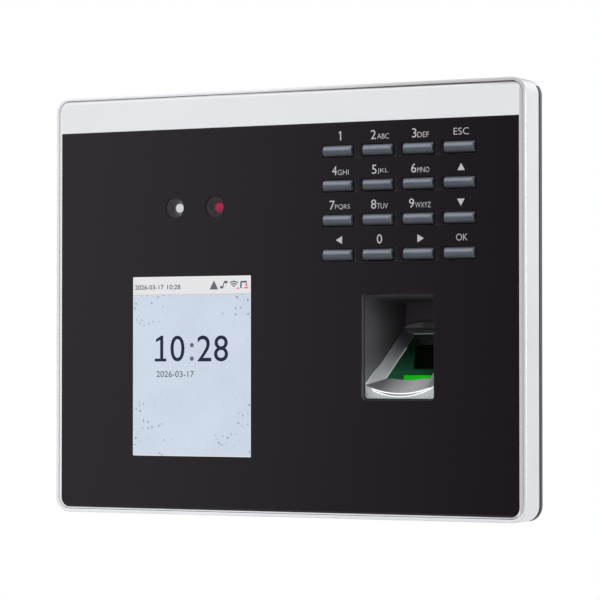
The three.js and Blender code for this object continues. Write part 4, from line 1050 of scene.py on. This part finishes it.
class TERMINAL_OT_pocket(Operator):
    """Finger pocket, the sensor's surround with glowing threads for painted highlights on its lip, and the
    sensor glass
    """
    bl_idname = "terminal.make_pocket"
    bl_label = "Finger pocket"

    def execute(self, context):
        glass, front = extent("sensor_glass"), extent("finger_pocket").front
        half, rise = glass.width / 2 + 0.3, math.tan(GLASS_SLOPE)
        front_face, scoop_end, stop_face = front + 0.05, 8.6, 28
        shape = Shape().copy("finger_pocket")
        # The sleeve's front face takes the near-black painted gap shade
        for face in shape.mesh.faces:
            face.material_index = int(face.calc_center_median().y / MM + FRONT < front_face)
        shape.done("pocket_sleeve", "pocket_dark", material(pocket_wall), black_gap(),
                   replaced=["finger_pocket"], bevel=0.3)

        def scoop_height(across, depth):
            """Height of the round scoop's surface at a place across and a depth."""
            round_up = (SCOOP_RADIUS - math.sqrt(SCOOP_RADIUS ** 2 - across ** 2)) / math.cos(SCOOP_CLIMB)
            return SCOOP_FLOOR + (depth - front) * math.tan(SCOOP_CLIMB) + round_up

        scoop, well, lip, stop = range(1, 5)
        shape = Shape().copy("sensor_bezel")
        for face in shape.mesh.faces:
            spot, normal = face.calc_center_median() / MM, face.normal
            across, depth = spot.x - glass.x, spot.y + FRONT
            # The bezel's inner walls beside the glass take the painted green light
            if abs(across) < half + 0.02 and abs(normal.x) > 0.9:
                face.material_index = well
            elif depth > stop_face and normal.y < -0.9:
                face.material_index = stop
            elif across > half and normal.x < -0.1 and normal.z > 0.1:
                face.material_index = scoop
            elif front_face < depth < scoop_end and abs(spot.z - scoop_height(across, depth)) < 0.25:
                face.material_index = scoop
        shape.paint = lip
        # Glowing threads that paint the highlights along the two lips: left and right end, lowest height,
        # radius of the sag, radius
        for start, end, low, sag, thread in (
                (-9.2, 11.4, -29.62, 24.0, 0.17), (-9.6, 10.2, -28.7, 30.0, 0.2)):
            spots = [start + (end - start) * i / 40 for i in range(41)]
            shape.bead([(glass.x + across, front - 0.02, low + sag - math.sqrt(sag ** 2 - across ** 2))
                        for across in spots], thread)
        # Glowing threads that paint the highlights on the edge lines up the flank: place across, its drift
        # a step, start behind the glass edge, lift
        last = 15.0
        for across, drift, first, lift in ((-half, 0, 0.2, 0.05), (-11.9, 0.02, -5.6, 1.9)):
            spots = [first + i * (last - first) / 20 for i in range(21)]
            shape.bead([(glass.x + across + drift * i, GLASS_FRONT + spot, GLASS_LOW + spot * rise + lift)
                        for i, spot in enumerate(spots)], 0.08)
        shape.done("sensor_surround", "bezel_grey", surround_paint("surround_paint", "bezel"),
                   surround_paint("scoop_paint", "scoop"), material(light_well), bright_lip(),
                   material(stop_grey), replaced=["sensor_bezel"], bevel=0.12)

        shape = Shape().copy("sensor_glass")
        # The glass's side faces take the painted green light
        for face in shape.mesh.faces:
            face.material_index = int(abs(face.normal.x) > 0.9)
        shape.done("sensor_window", "sensor_glass", material(sensor_surface), material(light_well),
                   replaced=["sensor_glass"], bevel=0.15)

        reach = 20.5
        shape = Shape(GLASS_FRONT + reach, 0.05)
        top = GLASS_LOW + (reach + 0.1) * rise
        left, right, bottom, upper = glass.x - half, glass.x + half, top - 0.2, top + 0.8
        shape.bead([(left + 0.1, shape.depth, top + 0.9), (right - 0.1, shape.depth, top + 0.9)], 0.2, 12)
        # A near-black strip under the thread: painted shade at the glass's upper edge
        shape.paint = 1
        shape.polygon([(left, bottom), (right, bottom), (right, upper), (left, upper)])
        shape.done("glass_edge", "sensor_glass", plain("glass_edge", tone(216, 232, 230), 0.2, patch=3.0),
                   black_gap())
        return {"FINISHED"}


class TERMINAL_OT_rear(Operator):
    """Rear cover, wall plate, screws, sockets and keypad mat"""
    bl_idname = "terminal.make_rear"
    bl_label = "Rear parts"

    def execute(self, context):
        zinc = plain("zinc_plate", tone(204, 206, 210), 0.34, patch=5.0, stretch=(10, 1, 1), Metallic=1.0)
        screw = screw_steel()
        jack = plain("jack_plate", tone(196, 197, 200), 0.3, stretch=(1, 1, 10), Metallic=1.0)
        green = plain("header_green", tone(58, 142, 82), 0.42)
        dark = plain("jack_black", tone(28, 28, 28), 0.45)
        for name, node, slot, finish, bevel in (
                ("cover_shell", "rear_cover", "cover_dark", material(cover_grain), 0.35),
                ("mounting_plate", "wall_plate", "wall_steel", zinc, 0.2),
                ("lock_screw", "locking_screw", "screw_steel", screw, 0.25),
                ("network_socket", "ethernet_jack", "jack_metal", jack, 0.25),
                ("power_socket", "power_jack", "jack_black", dark, 0.25),
                ("lead_terminals_1", "terminal_header_1", "header_green", green, 0.2),
                ("lead_terminals_2", "terminal_header_2", "header_green", green, 0.2)):
            Shape().copy(node).done(name, slot, finish, replaced=[node], bevel=bevel)

        head_height, shank = 1.5, 1.2
        for i in range(1, 5):
            node = "housing_screw_%d" % i
            box = extent(node)
            head, crown = box.width / 2, box.back
            shape = Shape()
            shape.lathe(box, (
                (0.95, crown - 0.9, 0.2), (1.1, crown - 0.06, 0.2), (1.2, crown, 0.16),
                (head - 0.4, crown), (head - 0.12, crown - 0.1), (head, crown - 0.35),
                (head, crown - head_height), (shank, crown - head_height), (shank, box.front)), 48)
            shape.done("cover_screw_%d" % i, "screw_steel", screw, replaced=[node])

        # The mat's domes are drawn pressed flat, so that no key cuts them at the end of its press
        domes, room = extent("keypad_mat").front, 1.05
        shape = Shape().copy("keypad_mat")
        for vertex in shape.mesh.verts:
            if vertex.co.y / MM + FRONT < domes + 0.1:
                vertex.co.y = (domes + room - FRONT) * MM
        shape.done("dome_mat", "silicone", plain("silicone", tone(60, 60, 63), 0.7, relief=0.01),
                   replaced=["keypad_mat"])
        return {"FINISHED"}


class TERMINAL_OT_carried_over(Operator):
    """Finishes of the CAD nodes that stay"""
    bl_idname = "terminal.finish_carried_over"
    bl_label = "Carried-over parts"

    def execute(self, context):
        pieces = {
            "lens_tape": plain("foam_tape", tone(20, 20, 20), 0.9, relief=0.02, grain=0.3),
            "display_backlight": plain("backlight", tone(224, 224, 224), 0.5),
            # The optics block takes the painted green light
            "optics_block": material(light_well),
            "light_bar": material(lit_bar),
            "processor_module": plain("chip_black", tone(34, 34, 37), 0.5),
            "tamper_switch": plain("switch_black", tone(30, 30, 32), 0.5),
            "clock_cell": plain("cell_steel", tone(205, 205, 208), 0.28, stretch=(12, 1, 1), Metallic=1.0),
            "tamper_plunger": plain("plunger_white", tone(224, 224, 222), 0.5),
            "speaker": plain("speaker_black", tone(38, 38, 40), 0.6),
        }
        for name in ("camera_board", "keypad_board", "sensor_board", "main_board", "card_antenna"):
            pieces[name] = material(board_mask)
        screw = screw_steel()
        pieces.update({name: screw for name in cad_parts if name.startswith("board_screw")})
        for name, made in pieces.items():
            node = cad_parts[name]
            node.data.materials.clear()
            node.data.materials.append(made)
        return {"FINISHED"}


class TERMINAL_PT_panel(Panel):
    """Lists the steps that build the looks"""
    bl_idname = "TERMINAL_PT_panel"
    bl_label = "Wall terminal"
    bl_space_type = "VIEW_3D"
    bl_region_type = "UI"
    bl_category = "Terminal"

    def draw(self, context):
        for step in STEPS:
            self.layout.operator(step.bl_idname)
        for group in (context.scene.terminal_sizes, context.scene.terminal_colours):
            for name in type(group).__annotations__:
                self.layout.prop(group, name)


STEPS = (
    TERMINAL_OT_stage, TERMINAL_OT_frame_shell, TERMINAL_OT_lens, TERMINAL_OT_keys,
    TERMINAL_OT_legends, TERMINAL_OT_display, TERMINAL_OT_cameras, TERMINAL_OT_pocket,
    TERMINAL_OT_rear, TERMINAL_OT_carried_over,
)
CLASSES = (TerminalSizes, TerminalColours, *STEPS, TERMINAL_PT_panel)


def register():
    for item in CLASSES:
        bpy.utils.register_class(item)
    bpy.types.Scene.terminal_sizes = PointerProperty(type=TerminalSizes)
    bpy.types.Scene.terminal_colours = PointerProperty(type=TerminalColours)


def unregister():
    del bpy.types.Scene.terminal_colours
    del bpy.types.Scene.terminal_sizes
    for item in reversed(CLASSES):
        bpy.utils.unregister_class(item)


def main():
    register()
    for step in STEPS:
        group, name = step.bl_idname.split(".")
        getattr(getattr(bpy.ops, group), name)()


if __name__ == "__main__":
    main()
